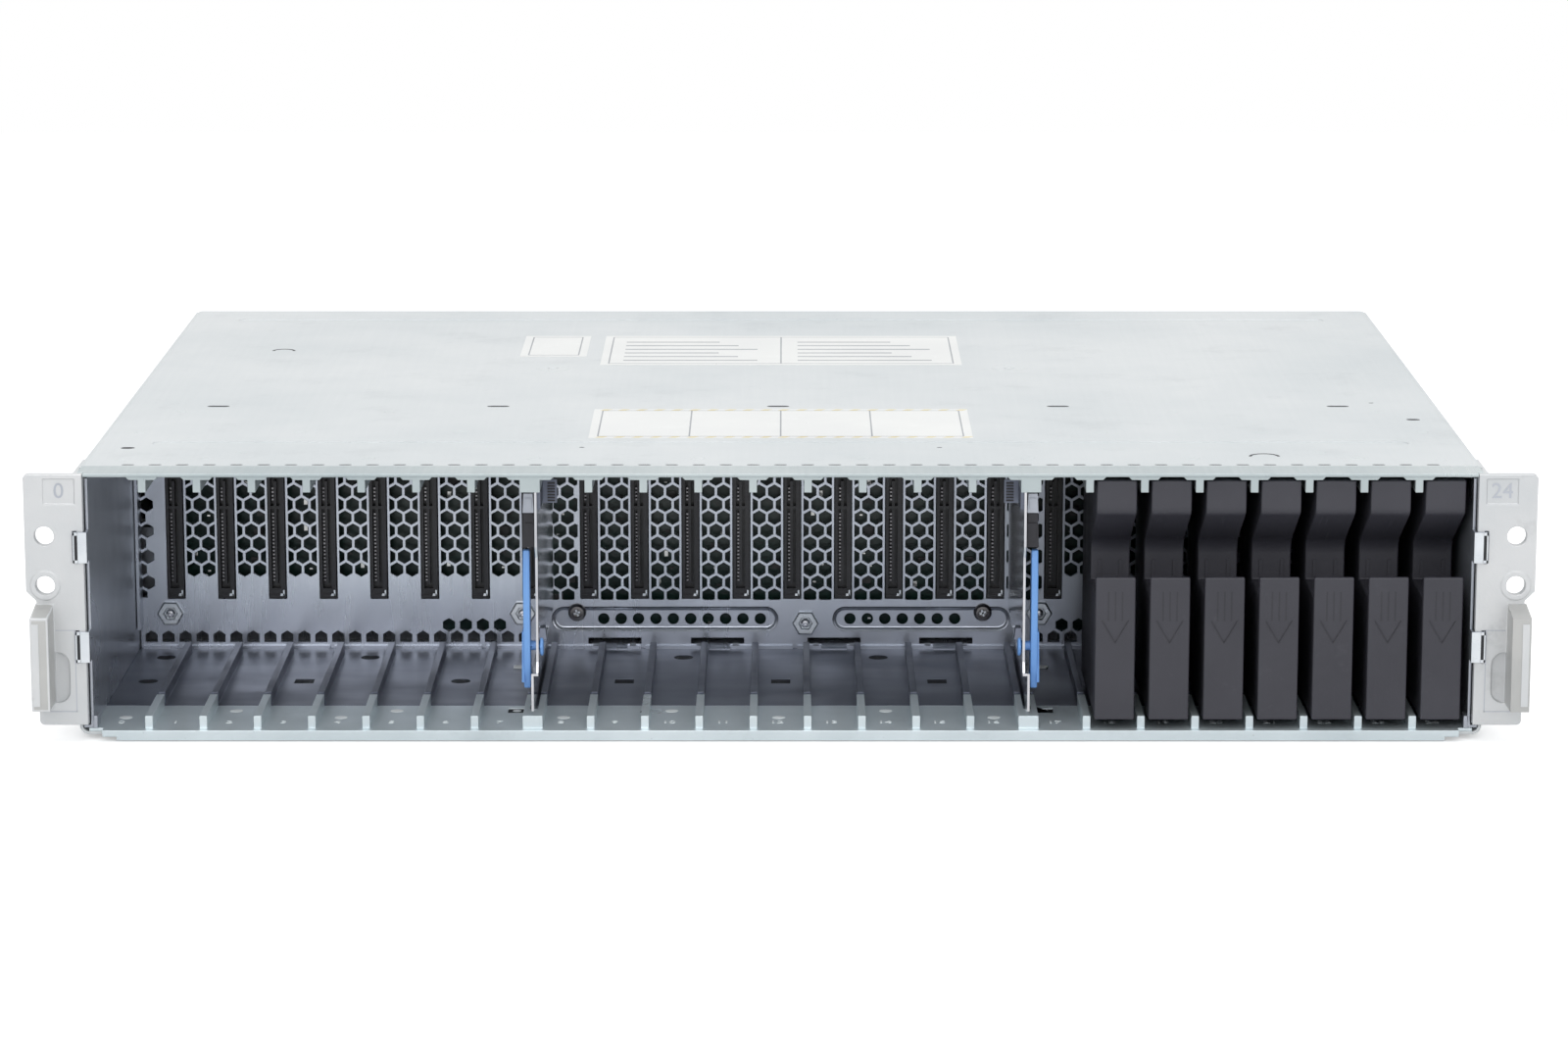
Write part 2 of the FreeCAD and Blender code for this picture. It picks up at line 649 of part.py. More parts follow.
def sideLiner():
    # left inner wall of the cage, with flanges to the shell and two hooks over the ear
    inner = -bayHalf
    outer = inner - dim.linerSheet
    start = dim.shellSetback + dim.runGap
    end = shieldBack + dim.shieldFlange
    low = guideTop
    flangeEnd = -(wallInner - dim.runGap)
    parts = [
        box((outer, start, low), (inner, end, ceilingUnder)),
        box((flangeEnd, start, low), (inner, end, low + dim.linerSheet)),
    ]
    hookOuter = inner - dim.linerSheet - dim.hookReach
    for foot in hookFeet():
        top = foot + dim.hookHeight
        parts.append(box((outer, -dim.hookSheet, foot), (inner, start + dim.linerSheet, top)))
        parts.append(box((hookOuter, -dim.hookSheet, foot), (inner, 0, top)))
        tail = hookOuter + dim.hookSheet
        parts.append(box((hookOuter, -dim.hookSheet, foot), (tail, dim.earSheet / 2, top)))
    post = (inner + dim.railWidth / 2, dim.railBlock, low + dim.railHeight)
    parts.append(box((inner, dim.railStart, low), post))
    return fuse(parts)


def hookFeet():
    # lower ends of the two liner hooks on each ear
    upper = dim.rackHoleHeight + dim.hookRise
    return (upper, upper - dim.hookPitch)


# ---- ears ------------------------------------------------------------------------------------

def leftEar():
    # cast rack ear with pull bar, rack holes, hook slots and a flange along the shell side
    outer = -(rackX + dim.earReach)
    inner = -(shellHalf - dim.earOverlap)
    lowerOuter = outer + dim.earNeck
    top = dim.shellHeight - dim.earHead
    neck = dim.earNeckHeight
    sheet = dim.earSheet
    outline = [
        (outer, top), (inner, top), (inner, dim.earFoot), (lowerOuter, dim.earFoot),
        (lowerOuter, neck), (outer, neck + dim.earNeck),
    ]
    plate = profile("xz", outline, 0, sheet, [((0, 3), dim.earCorner)])
    barOuter = lowerOuter - dim.handleInset
    barInner = barOuter + dim.handleWidth
    rear = sheet / 2
    bar = [
        (rear, dim.handleFoot), (-dim.handleReach, dim.handleFoot),
        (-dim.handleReach, dim.handleHead), (rear, dim.handleHead + dim.handleSlant),
    ]
    parts = [plate, profile("yz", bar, barOuter, dim.handleWidth)]
    flangeInner = -(shellHalf + dim.seamGap / 2)
    flangeFoot = dim.earFoot + dim.earFlangeInset
    flangeHead = top - dim.earFlangeInset
    flangeLow = (flangeInner - dim.earFlange, rear, flangeFoot)
    parts.append(box(flangeLow, (flangeInner, dim.earFlangeDepth, flangeHead)))
    holes = rackHoles()
    x, z = holes[0]
    radius = dim.rackHole / 2
    parts.append(rod((x, -dim.ringHeight, z), radius + dim.rackRing, dim.ringHeight + rear, "y"))
    cutStart = -dim.ringHeight - dim.past
    cuts = [rod((x, cutStart, z), radius, sheet - cutStart + dim.past, "y") for x, z in holes]
    hookOuter = -bayHalf - dim.linerSheet - dim.hookReach - dim.seamGap
    slotEnd = hookOuter + dim.hookSheet + dim.seamGap * 2
    for foot in hookFeet():
        low = (hookOuter, -dim.past, foot - dim.seamGap)
        cuts.append(box(low, (slotEnd, sheet + dim.past, foot + dim.hookHeight + dim.seamGap)))
    panelHead = top - dim.panelTop
    panelLow = (-rackX, -dim.past, panelHead - dim.panelHeight)
    cuts.append(box(panelLow, (-rackX + dim.panelWidth, dim.panelDepth, panelHead)))
    # D-shaped finger recess beside the pull bar
    pocketHead = dim.handleFoot + dim.pocketHeight
    pocketInner = barInner + dim.pocketWidth
    pocket = [
        (barInner, dim.handleFoot), (pocketInner, dim.handleFoot),
        (pocketInner, pocketHead), (barInner, pocketHead),
    ]
    depth = dim.pocketDepth + dim.past
    cuts.append(profile("xz", pocket, -dim.past, depth, [((1, 2), dim.pocketRound)]))
    return cut(fuse(parts), cuts)


def rackHoles():
    return [(-rackX, dim.rackHoleHeight), (-rackX, dim.rackHoleHeight + dim.rackPitch)]


def earScrewPlaces():
    # along the shell side, as Y and height on the ear flange
    y = dim.earFlangeDepth - dim.earScrewInset
    return [(y, dim.earScrewEnd), (y, dim.shellHeight - dim.earScrewEnd)]


def earScrews():
    # hexagon heads on the ear flange, which hold it to the shell wall
    outer = -(shellHalf + dim.seamGap / 2 + dim.earFlange) - dim.nutHeight
    return [polygonBar((outer, y, z), dim.earScrew, dim.nutHeight, "x") for y, z in earScrewPlaces()]


# ---- midplane --------------------------------------------------------------------------------

def polygon(x, z, radius, y, sides, first=math.pi / 2):
    # a closed regular wire in the shield's plane, its first corner at the top
    corners = []
    for step in range(sides + 1):
        angle = first + 2 * math.pi * step / sides
        corners.append(FreeCAD.Vector(x + radius * math.cos(angle), y, z + radius * math.sin(angle)))
    return Part.makePolygon(corners)


def hexagon(x, z, flats, y):
    return polygon(x, z, flats / math.sqrt(3), y, 6)


def houseVent(x, foot, width, y):
    # a square with a low gable on it
    half = width / 2
    eaves = foot + width * (1 - numberOf(dim.ventGable))
    corners = [
        (x - half, foot), (x + half, foot), (x + half, eaves),
        (x, foot + width), (x - half, eaves), (x - half, foot),
    ]
    return Part.makePolygon([FreeCAD.Vector(a, y, b) for a, b in corners])


def obround(low, high, y, radius):
    # a slot outline with round ends, long side along X
    x0, z0 = low
    x1, z1 = high
    points = [
        FreeCAD.Vector(x0 + radius, y, z0), FreeCAD.Vector(x1 - radius, y, z0),
        FreeCAD.Vector(x1 - radius, y, z1), FreeCAD.Vector(x0 + radius, y, z1),
    ]
    middle = (z0 + z1) / 2
    right = Part.Arc(points[1], FreeCAD.Vector(x1, y, middle), points[2]).toShape()
    left = Part.Arc(points[3], FreeCAD.Vector(x0, y, middle), points[0]).toShape()
    lower = Part.makeLine(points[0], points[1])
    upper = Part.makeLine(points[2], points[3])
    return Part.Wire([lower, right, upper, left])


def rectangle(x0, x1, z0, z1, y):
    corners = [(x0, z0), (x1, z0), (x1, z1), (x0, z1), (x0, z0)]
    return Part.makePolygon([FreeCAD.Vector(a, y, b) for a, b in corners])


def connectorCentre(index):
    return slotCentre(index) + dim.connectorShift


def honeycombCentres():
    # one hexagon in every second row of the honeycomb, between two connector openings
    rowPitch = numberOf(dim.hexPitch) * math.sqrt(3) / 2
    centres = []
    gaps = [numberOf(connectorCentre(i) + connectorCentre(i + 1)) / 2 for i in range(slotCount - 1)]
    for index, middle in enumerate(gaps):
        central = wideBoundaries[0] <= index + 1 < wideBoundaries[1]
        rows = int(numberOf(dim.hexRows if central else dim.sideHexRows))
        centres += [(middle, numberOf(dim.hexTop) - row * rowPitch) for row in range(1, rows, 2)]
    return centres


def fastenerPlaces():
    # captive nuts, then board screws, as X and height on the shield
    nuts = []
    for side, index in ((-1, wideBoundaries[0]), (1, wideBoundaries[1])):
        nuts.append((side * (bayHalf - dim.nutInset), dim.fastenerHeight))
        nuts.append((boundary(index) + side * dim.nutBeside, dim.fastenerHeight))
    nuts.append((dim.nutMiddle, dim.fastenerHeight - dim.nutMiddleDrop))
    screwX = slotCentre((slotCount - 1) // 2 + sideSlots // 2)
    screws = [(-screwX, dim.fastenerHeight), (screwX, dim.fastenerHeight)]
    return nuts, screws


def embossSpans():
    # X ranges of the two long embosses
    left = boundary(wideBoundaries[0]) + dim.embossInset
    right = boundary(wideBoundaries[1]) - dim.embossInset
    return ((left, -dim.embossBreak), (dim.embossSecond, right))


def midplaneShield():
    # galvanised plate with honeycomb fields, connector openings, vents and folded edges
    y = numberOf(dim.shieldFront)
    thick = numberOf(dim.shieldSheet)
    half = numberOf(bayHalf - dim.runGap)
    foot = numberOf(guideTop)
    head = numberOf(ceilingUnder)
    holes = [hexagon(x, z, numberOf(dim.hexFlats), y) for x, z in honeycombCentres()]
    cutHalf = numberOf(dim.connectorCut) / 2
    cutFoot = numberOf(dim.connectorFoot)
    cutHead = numberOf(dim.connectorHead)
    for index in range(slotCount):
        x = numberOf(connectorCentre(index))
        holes.append(rectangle(x - cutHalf, x + cutHalf, cutFoot, cutHead, y))
    pitch = numberOf(dim.ventPitch)
    firstVent = numberOf(dim.ventStart) - half
    count = int((numberOf(boundary(wideBoundaries[0])) - firstVent) / pitch)
    for step in range(count):
        holes.append(houseVent(firstVent + pitch * step, numberOf(dim.ventFoot), numberOf(dim.hexFlats), y))
    for start in slotVents():
        x = numberOf(start)
        low = numberOf(dim.ventFoot)
        holes.append(rectangle(x, x + numberOf(dim.slotPitch), low, low + numberOf(dim.slotVent), y))
    spacing = numberOf(dim.roundVentPitch)
    nuts, screws = fastenerPlaces()
    bosses = []
    for low, high in embossSpans():
        span = (numberOf(low), numberOf(high))
        middle = numberOf(dim.embossHeight)
        radius = numberOf(dim.embossWidth) / 2
        bosses.append((span, middle, radius))
        blocked = [numberOf(x) for x, z in screws]
        number = int((span[1] - span[0] - 2 * radius) / spacing) + 1
        start = (span[0] + span[1] - (number - 1) * spacing) / 2
        for step in range(number):
            x = start + step * spacing
            if all(abs(x - other) > numberOf(dim.screwHead) for other in blocked):
                holes.append(polygon(x, middle, numberOf(dim.roundVent) / 2, y, 8))
    play = numberOf(dim.shaftPlay)
    radius = numberOf(dim.spacerFlats) / math.sqrt(3) + play
    for x, z in nuts + screws:
        holes.append(polygon(numberOf(x), numberOf(z), radius, y, 6, 0))
    plate = Part.Face([rectangle(-half, half, foot, head, y)] + holes, "Part::FaceMakerCheese")
    solid = plate.extrude(FreeCAD.Vector(0, thick, 0))
    for (left, right), middle, radius in bosses:
        depth = numberOf(dim.embossDepth)
        ring = obround((left, middle - radius), (right, middle + radius), y, radius)
        solid = solid.cut(Part.Face(ring).extrude(FreeCAD.Vector(0, depth, 0)))
    reach = numberOf(dim.shieldFlange)
    flanges = []
    for side in (-1, 1):
        left = min(side * half, side * (half - thick))
        corner = FreeCAD.Vector(left, y - reach, foot + reach)
        flanges.append(Part.makeBox(thick, reach, head - foot - 2 * reach, corner))
    for low in (foot, head - thick):
        corner = FreeCAD.Vector(-half + reach, y + thick, low)
        flanges.append(Part.makeBox(2 * (half - reach), reach - thick, thick, corner))
    return shaped(solid.fuse(flanges).removeSplitter())


def slotVents():
    # starts of the four slots below the embosses
    return [dim.slotVent1, dim.slotVent2, dim.slotVent3, dim.slotVent4]


def driveConnectors():
    # one upright connector in each slot, open towards the drive
    connectors = []
    foot = dim.connectorFoot + dim.connectorPlay
    head = dim.connectorHead - dim.connectorPlay
    half = dim.connectorCut / 2 - dim.connectorPlay
    front = dim.shieldFront + dim.seamGap
    mouth = dim.mouthWidth / 2
    for index in range(slotCount):
        x = connectorCentre(index)
        block = box((x - half, front, foot), (x + half, boardFront, head))
        low = (x - mouth, front - dim.past, foot + dim.mouthEnd)
        connectors.append(cut(block, [box(low, (x + mouth, front + dim.mouthDepth, head - dim.mouthEnd))]))
    return group(connectors)


def midplaneBoard():
    half = bayHalf - dim.boardInset
    low = guideTop + dim.boardInset
    high = ceilingUnder - dim.boardInset
    return box((-half, boardFront, low), (half, boardBack, high))


def shieldNuts():
    # captive nuts: a hexagon on the shield's front and a hexagonal spacer up to the board
    return group([fastener(x, z, dim.nutFlats) for x, z in fastenerPlaces()[0]])


def fastener(x, z, flats):
    start = dim.shieldFront - dim.nutHeight
    head = polygonBar((x, start, z), flats, dim.nutHeight, "y")
    spacer = polygonBar((x, start, z), dim.spacerFlats, boardFront - start, "y")
    return fuse([head, spacer])


def boardScrews():
    # hexagon screws through the shield into the board
    return group([fastener(x, z, dim.screwHead) for x, z in fastenerPlaces()[1]])


# ---- dividers and their latches ---------------------------------------------------------------

def dividerX():
    # middle of the left divider's foot, in the groove of its wide rail
    return boundary(wideBoundaries[0])


def leftDivider():
    # upright sheet standing in the grooved rails, jogged towards the middle above its foot
    x = dividerX() - dim.dividerSheet / 2
    upper = x + dim.dividerJog
    jog = dim.dividerJogHeight
    front = dim.dividerFront
    back = dim.shieldFront - dim.shieldFlange - dim.railEnd
    footFront = dim.railStart + dim.railBlock + dim.runGap
    railTop = guideTop + dim.railHeight + dim.railEnd
    jogTop = jog + dim.dividerSheet
    foot = [
        (footFront, guideTop), (back, guideTop), (back, jogTop), (front, jogTop),
        (front, railTop), (footFront, railTop),
    ]
    head = ceilingUnder - dim.seamGap / 4
    notch = front + dim.dividerNotch
    notchHead = jog + dim.dividerNotchHead
    ease = dim.dividerNotchEase
    blade = [
        (front, jog), (back, jog), (back, head), (front, head),
        (front, notchHead), (notch, notchHead - ease), (notch, jog + ease),
    ]
    parts = [
        profile("yz", foot, x, dim.dividerSheet),
        profile("yz", blade, upper, dim.dividerSheet),
        box((x, front, jog), (upper + dim.dividerSheet, back, jogTop)),
    ]
    pivot = latchPivotPlace()
    radius = dim.latchPin / 2 + dim.shaftPlay
    length = dim.dividerJog + dim.dividerSheet + dim.past * 2
    return cut(fuse(parts), [rod((x - dim.past, *pivot), radius, length, "x")])


def latchPivotPlace():
    return (dim.dividerFront + dim.latchDepth / 2 + dim.latchInset, dim.latchPivot)


def leftLatch():
    # blue lever beside the divider, on a pin through the sheet with a button on the far side
    footFace = dividerX() - dim.dividerSheet / 2
    right = footFace - dim.runGap
    left = right - dim.latchWidth
    y, z = latchPivotPlace()
    front = y - dim.latchDepth / 2
    back = y + dim.latchDepth / 2
    tip = dim.latchTip
    taper = dim.latchTaper
    outline = [
        (front, dim.latchFoot + taper), (front + tip, dim.latchFoot), (back - tip, dim.latchFoot),
        (back, dim.latchFoot + taper), (back, dim.latchHead - taper), (back - tip, dim.latchHead),
        (front + tip, dim.latchHead), (front, dim.latchHead - taper),
    ]
    lever = profile("yz", outline, left, dim.latchWidth)
    buttonFace = footFace + dim.dividerJog + dim.dividerSheet + dim.runGap
    pinStart = right - dim.latchWidth / 2
    pin = rod((pinStart, y, z), dim.latchPin / 2, buttonFace - pinStart, "x")
    button = polygonBar((buttonFace, y, z), dim.latchButton, dim.latchWidth / 2, "x", 8)
    return fuse([lever, pin, button])


# ---- slot fillers ----------------------------------------------------------------------------

def slotFiller(index):
    # hollow moulded filler: top tab, curved finger recess and lower block, with a foot rib
    front = dim.fillerFront
    back = front + dim.fillerDepth
    recess = front + dim.fillerRecess
    wall = dim.fillerWall
    outer = [
        (front, fillerHead), (front, fillerTab), (recess, recessHead),
        (recess, dim.recessFoot), (front, dim.recessFoot), (front, dim.fillerFoot),
        (back, dim.fillerFoot), (back, fillerHead),
    ]
    inner = [
        (front + wall, fillerHead - wall), (front + wall, fillerTab + wall),
        (recess + wall, recessHead + wall), (recess + wall, dim.recessFoot - wall),
        (front + wall, dim.recessFoot - wall), (front + wall, dim.fillerFoot + wall),
        (back + dim.past, dim.fillerFoot + wall), (back + dim.past, fillerHead - wall),
    ]
    x = slotCentre(index) - dim.fillerWidth / 2
    rounds = [((1,), dim.fillerTabRound), ((2,), dim.fillerRecessRound)]
    skin = profile("yz", outer, x, dim.fillerWidth, rounds)
    hollow = profile("yz", inner, x + wall, dim.fillerWidth - wall * 2)
    middle = slotCentre(index)
    rib = dim.fillerRib / 2
    foot = box(
        (middle - rib, front + dim.fillerDepth / 2, guideTop + dim.runGap),
        (middle + rib, back, dim.fillerFoot + wall / 2),
    )
    return cut(fuse([skin, foot]), [hollow])


# ---- rear bay --------------------------------------------------------------------------------

def bayWall():
    # centre wall between the left and right modules, flanged to floor and cover
    half = dim.wallSheet / 2
    start = dim.moduleFront
    end = dim.shellRear - dim.wallInset
    flange = half + dim.moduleGap / 2
    return fuse([
        box((-half, start, floorTop), (half, end, coverUnder)),
        box((-flange, start, coverUnder - dim.wallSheet), (flange, end, coverUnder)),
    ])


def shelfHeight():
    # underside of the shelf above the power modules
    return floorTop + dim.powerHeight + dim.runGap * 2


def moduleShelf():
    # one shelf on each side, from the centre wall to the shell wall
    low = shelfHeight()
    high = low + dim.shelfSheet
    end = dim.shellRear - dim.shelfInset
    shelves = []
    for side in (-1, 1):
        edges = sorted((side * (dim.wallSheet / 2), side * wallInner), key=numberOf)
        shelves.append(box((edges[0], dim.moduleFront, low), (edges[1], end, high)))
    return group(shelves)


def moduleSpan(side):
    # X range of a module: side -1 is the left bay, 1 the right
    near = dim.wallSheet / 2 + dim.moduleGap
    far = wallInner - dim.shellSheet - dim.moduleGap
    if side < 0:
        return (-far, -near)
    return (near, far)


def boardLinks():
    # connectors on the back of the midplane board, one for each rear module
    links = []
    halfWidth = dim.plugWidth / 2
    halfHeight = dim.plugHeight / 2
    back = dim.moduleFront - dim.runGap
    for side in (-1, 1):
        low, high = moduleSpan(side)
        left = (low + high) / 2 - halfWidth
        right = (low + high) / 2 + halfWidth
        for z in (floorTop + dim.powerHeight / 2, shelfHeight() + dim.shelfSheet + linkHeight() / 2):
            links.append(box((left, boardBack, z - halfHeight), (right, back, z + halfHeight)))
    return group(links)


def powerOrigin():
    return floorTop + dim.runGap


def powerCase(side):
    # sheet box, open at the rear behind the face plate, with a window in front
    low, high = moduleSpan(side)
    foot = powerOrigin()
    head = foot + dim.powerHeight - dim.runGap
    skin = dim.moduleSheet
    front = dim.moduleFront
    back = dim.shellRear - dim.faceSheet
    outer = box((low, front, foot), (high, back, head))
    inner = box((low + skin, front + skin, foot + skin), (high - skin, back + dim.past, head - skin))
    inset = dim.windowInset
    edge = dim.windowEdge
    windowLow = (low + inset, front - dim.past, foot + edge)
    window = box(windowLow, (high - inset, front + skin + dim.past, head - edge))
    return cut(outer, [inner, window])


def fanCentres(side):
    # two fans beside the module's outer end, as X and height
    low, high = moduleSpan(side)
    outerEdge, towards = (low, 1) if side < 0 else (high, -1)
    height = powerOrigin() + (dim.powerHeight - dim.runGap) / 2
    first = outerEdge + dim.fanInset * towards
    return [(first, height), (first + dim.fanPitch * towards, height)]


def inletSpan(side):
    # X range of the mains inlet, beyond the fans
    far = fanCentres(side)[1][0]
    towards = 1 if side < 0 else -1
    near = far + (fanSide / 2 + dim.inletGap) * towards
    return sorted((near, near + dim.inletWidth * towards), key=numberOf)


def powerFace(side):
    # rear plate with fan openings, the inlet cut-out and two lugs for the lever
    low, high = moduleSpan(side)
    foot = powerOrigin()
    head = foot + dim.powerHeight - dim.runGap
    start = dim.shellRear - dim.faceSheet
    end = dim.shellRear + dim.past
    plate = box((low, start, foot), (high, dim.shellRear, head))
    half = dim.grilleBar / 2
    reach = fanSide / 2
    cuts = []
    for x, z in fanCentres(side):
        flats = fanBore - dim.grilleRim * 2
        ring = polygonBar((x, start - dim.past, z), flats, dim.faceSheet + dim.past * 2, "y", 12)
        bars = [box((x - half, start - dim.past, z - reach), (x + half, end, z + reach))]
        bars.append(box((x - reach, start - dim.past, z - half), (x + reach, end, z + half)))
        cuts.append(cut(ring, bars))
    inletLow, inletHigh = inletSpan(side)
    middle = foot + dim.powerHeight / 2
    rise = dim.inletHeight / 2
    cuts.append(box((inletLow, start - dim.past, middle - rise), (inletHigh, end, middle + rise)))
    return cut(fuse([plate] + leverLugs(leverPivot(side), foot + dim.powerLeverFoot)), cuts)


def fanFrames(side):
    # square frames behind the face plate, each with a spider and the rotor's shaft
    frames = []
    back = dim.shellRear - dim.faceSheet
    front = back - dim.fanDepth
    half = fanSide / 2
    for x, z in fanCentres(side):
        frame = box((x - half, front, z - half), (x + half, back, z + half))
        bore = polygonBar((x, front - dim.past, z), fanBore, dim.fanDepth + dim.past * 2, "y", 12)
        rise = dim.spiderHeight / 2
        barLow = (x - half, front, z - rise)
        spider = [
            box(barLow, (x + half, front + dim.spiderSheet, z + rise)),
            rod((x, front, z), dim.fanShaft / 2, dim.fanDepth - dim.shaftEnd, "y"),
        ]
        frames.append(fuse([cut(frame, [bore])] + spider))
    return group(frames)


def fanRotor(side, number):
    # hub with pitched blades, running on the frame's shaft
    x, z = fanCentres(side)[number]
    start = dim.shellRear - dim.faceSheet - dim.fanDepth + dim.spiderSheet + dim.rotorGap
    length = dim.fanDepth - dim.shaftEnd
    hub = polygonBar((x, start, z), dim.fanHub, length, "y", 12)
    blades = []
    bladeCount = int(dim.bladeCount.number)
    root = numberOf(dim.bladeRoot)
    sheet = numberOf(dim.bladeSheet)
    depth = numberOf(length - dim.bladeInset * 2)
    middle = FreeCAD.Vector(numberOf(x), numberOf(start + length / 2), numberOf(z))
    for index in range(bladeCount):
        blade = Part.makeBox(numberOf(bladeReach) - root, depth, sheet)
        blade.translate(FreeCAD.Vector(root, -depth / 2, -sheet / 2))
        blade.rotate(FreeCAD.Vector(), FreeCAD.Vector(1, 0, 0), numberOf(dim.bladePitch))
        blade.rotate(FreeCAD.Vector(), FreeCAD.Vector(0, 1, 0), 360 / bladeCount * index)
        blade.translate(middle)
        blades.append(shaped(blade))
    bore = rod((x, start - dim.past, z), dim.fanShaft / 2 + dim.shaftPlay, length - dim.past, "y")
    return cut(fuse([hub] + blades), [bore])


def powerInlet(side):
    # three-pole mains socket set in the face plate
    low, high = inletSpan(side)
    middle = powerOrigin() + dim.powerHeight / 2
    x = (low + high) / 2
    play = dim.seamGap / 2
    rise = dim.inletHeight / 2
    rim = dim.inletRim
    rear = dim.shellRear
    front = rear - dim.inletDepth
    bodyLow = (low + play, front, middle - rise + play)
    body = box(bodyLow, (high - play, rear + dim.inletProud, middle + rise - play))
    floor = front + dim.inletFloor
    mouthHigh = (high - rim, rear + dim.past * 2, middle + rise - rim)
    mouth = box((low + rim, floor, middle - rise + rim), mouthHigh)
    pins = []
    halfWidth = dim.pinWidth / 2
    halfHeight = dim.pinHeight / 2
    for step, drop in ((-1, 0), (0, 1), (1, 0)):
        pinX = x + dim.pinPitch * step
        z = middle + halfHeight - dim.pinStagger * drop
        pinLow = (pinX - halfWidth, floor - dim.past, z - halfHeight)
        pins.append(box(pinLow, (pinX + halfWidth, rear - dim.pinSetback, z + halfHeight)))
    return fuse([cut(body, [mouth])] + pins)


def leverPivot(side):
    # X and Y of a module lever's upright pin, near the centre wall
    low, high = moduleSpan(side)
    inset = dim.leverInset
    x = high - inset if side < 0 else low + inset
    return (x, dim.shellRear + dim.leverStandoff)


def leverLugs(pivot, foot):
    # two lugs above and below the lever, bored for its pin
    x, y = pivot
    half = dim.leverSheet / 2 + dim.lugMargin
    lugs = []
    top = foot + dim.lugSheet + dim.leverHeight + dim.runGap * 2
    start = dim.shellRear - dim.lugMargin
    for low in (foot, top):
        block = box((x - half, start, low), (x + half, y + half, low + dim.lugSheet))
        hole = rod((x, y, low - dim.past), dim.leverPin / 2 + dim.shaftPlay, dim.lugSheet + dim.past * 2, "z")
        lugs.append(cut(block, [hole]))
    return lugs


def moduleLever(side, foot):
    # cam lever along the module face, hinged on an upright pin, with a finger end
    x, y = leverPivot(side)
    towards = -1 if side < 0 else 1
    half = dim.leverSheet / 2
    low = foot + dim.lugSheet + dim.runGap
    high = low + dim.leverHeight
    tip = x + dim.leverLength * towards
    heel = x - half * towards
    edges = sorted((heel, tip), key=numberOf)
    arm = box((edges[0], y - half, low), (edges[1], y + half, high))
    pin = rod((x, y, foot), dim.leverPin / 2, dim.lugSheet * 2 + dim.leverHeight + dim.runGap * 2, "z")
    finger = sorted((tip, tip - dim.leverSheet * towards), key=numberOf)
    hook = box((finger[0], y - half, low), (finger[1], rearEnd, high))
    return fuse([arm, pin, hook])


def linkOrigin():
    return shelfHeight() + dim.shelfSheet + dim.runGap


def linkHeight():
    return coverUnder - dim.linkTopGap - linkOrigin()


def linkTray(side):
    # open tray with low side walls and a full-height rear plate for ports and vents
    low, high = moduleSpan(side)
    foot = linkOrigin()
    head = foot + linkHeight()
    skin = dim.moduleSheet
    back = dim.shellRear
    front = dim.moduleFront
    wall = foot + dim.trayWall
    plate = back - dim.faceSheet
    parts = [
        box((low, front, foot), (high, back, foot + skin)),
        box((low, front, foot), (low + skin, back, wall)),
        box((high - skin, front, foot), (high, back, wall)),
        box((low, plate, foot), (high, back, head)),
    ]
    cuts = []
    half = dim.portWidth / 2
    portLow = foot + dim.portFoot
    portHigh = portLow + dim.portHeight
    for x in portCentres(side):
        cuts.append(box((x - half, plate - dim.past, portLow), (x + half, back + dim.past, portHigh)))
    count = int(dim.trayVents.number)
    ventHalf = dim.trayVentWidth / 2
    ventHead = head - dim.trayVentTop
    for index in range(count):
        x = (low + high) / 2 + dim.trayVentPitch * (index - (count - 1) / 2)
        ventLow = (x - ventHalf, plate - dim.past, ventHead - dim.trayVentHeight)
        cuts.append(box(ventLow, (x + ventHalf, back + dim.past, ventHead)))
    parts += leverLugs(leverPivot(side), foot + dim.linkLeverFoot)
    return cut(fuse(parts), cuts)


def portCentres(side):
    low, high = moduleSpan(side)
    first = low + dim.portInset if side < 0 else high - dim.portInset
    towards = 1 if side < 0 else -1
    return [first, first + dim.portPitch * towards]


def linkBoard(side):
    # circuit board on four spacers, with a heat sink and the plug towards the midplane
    low, high = moduleSpan(side)
    foot = linkOrigin() + dim.moduleSheet
    board = foot + dim.boardStandoff
    top = board + dim.linkBoardSheet
    front = dim.moduleFront + dim.linkBoardFront
    back = dim.shellRear - dim.linkBoardRear
    middle = (low + high) / 2
    inset = dim.linkBoardInset
    parts = [box((low + inset, front, board), (high - inset, back, top))]
    half = dim.spacerSide / 2
    spacerTop = board + dim.linkBoardSheet / 2
    for x in (low + dim.spacerInset, high - dim.spacerInset):
        for y in (front + dim.spacerInset, back - dim.spacerInset):
            parts.append(box((x - half, y - half, foot), (x + half, y + half, spacerTop)))
    plug = shelfHeight() + dim.shelfSheet + linkHeight() / 2 + dim.plugHeight / 2
    halfPlug = dim.plugWidth / 2
    plugBack = front + dim.linkPlugDepth
    parts.append(box((middle - halfPlug, dim.moduleFront, top), (middle + halfPlug, plugBack, plug)))
    start = dim.moduleFront + dim.sinkStart
    end = start + dim.sinkLength
    halfSink = dim.sinkWidth / 2
    base = top + dim.sinkBase
    parts.append(box((middle - halfSink, start, board), (middle + halfSink, end, base)))
    count = int(dim.sinkFins.number)
    for index in range(count):
        x = middle + dim.finPitch * (index - (count - 1) / 2) - dim.finSheet / 2
        parts.append(box((x, start, top), (x + dim.finSheet, end, top + dim.sinkHeight)))
    return fuse(parts)


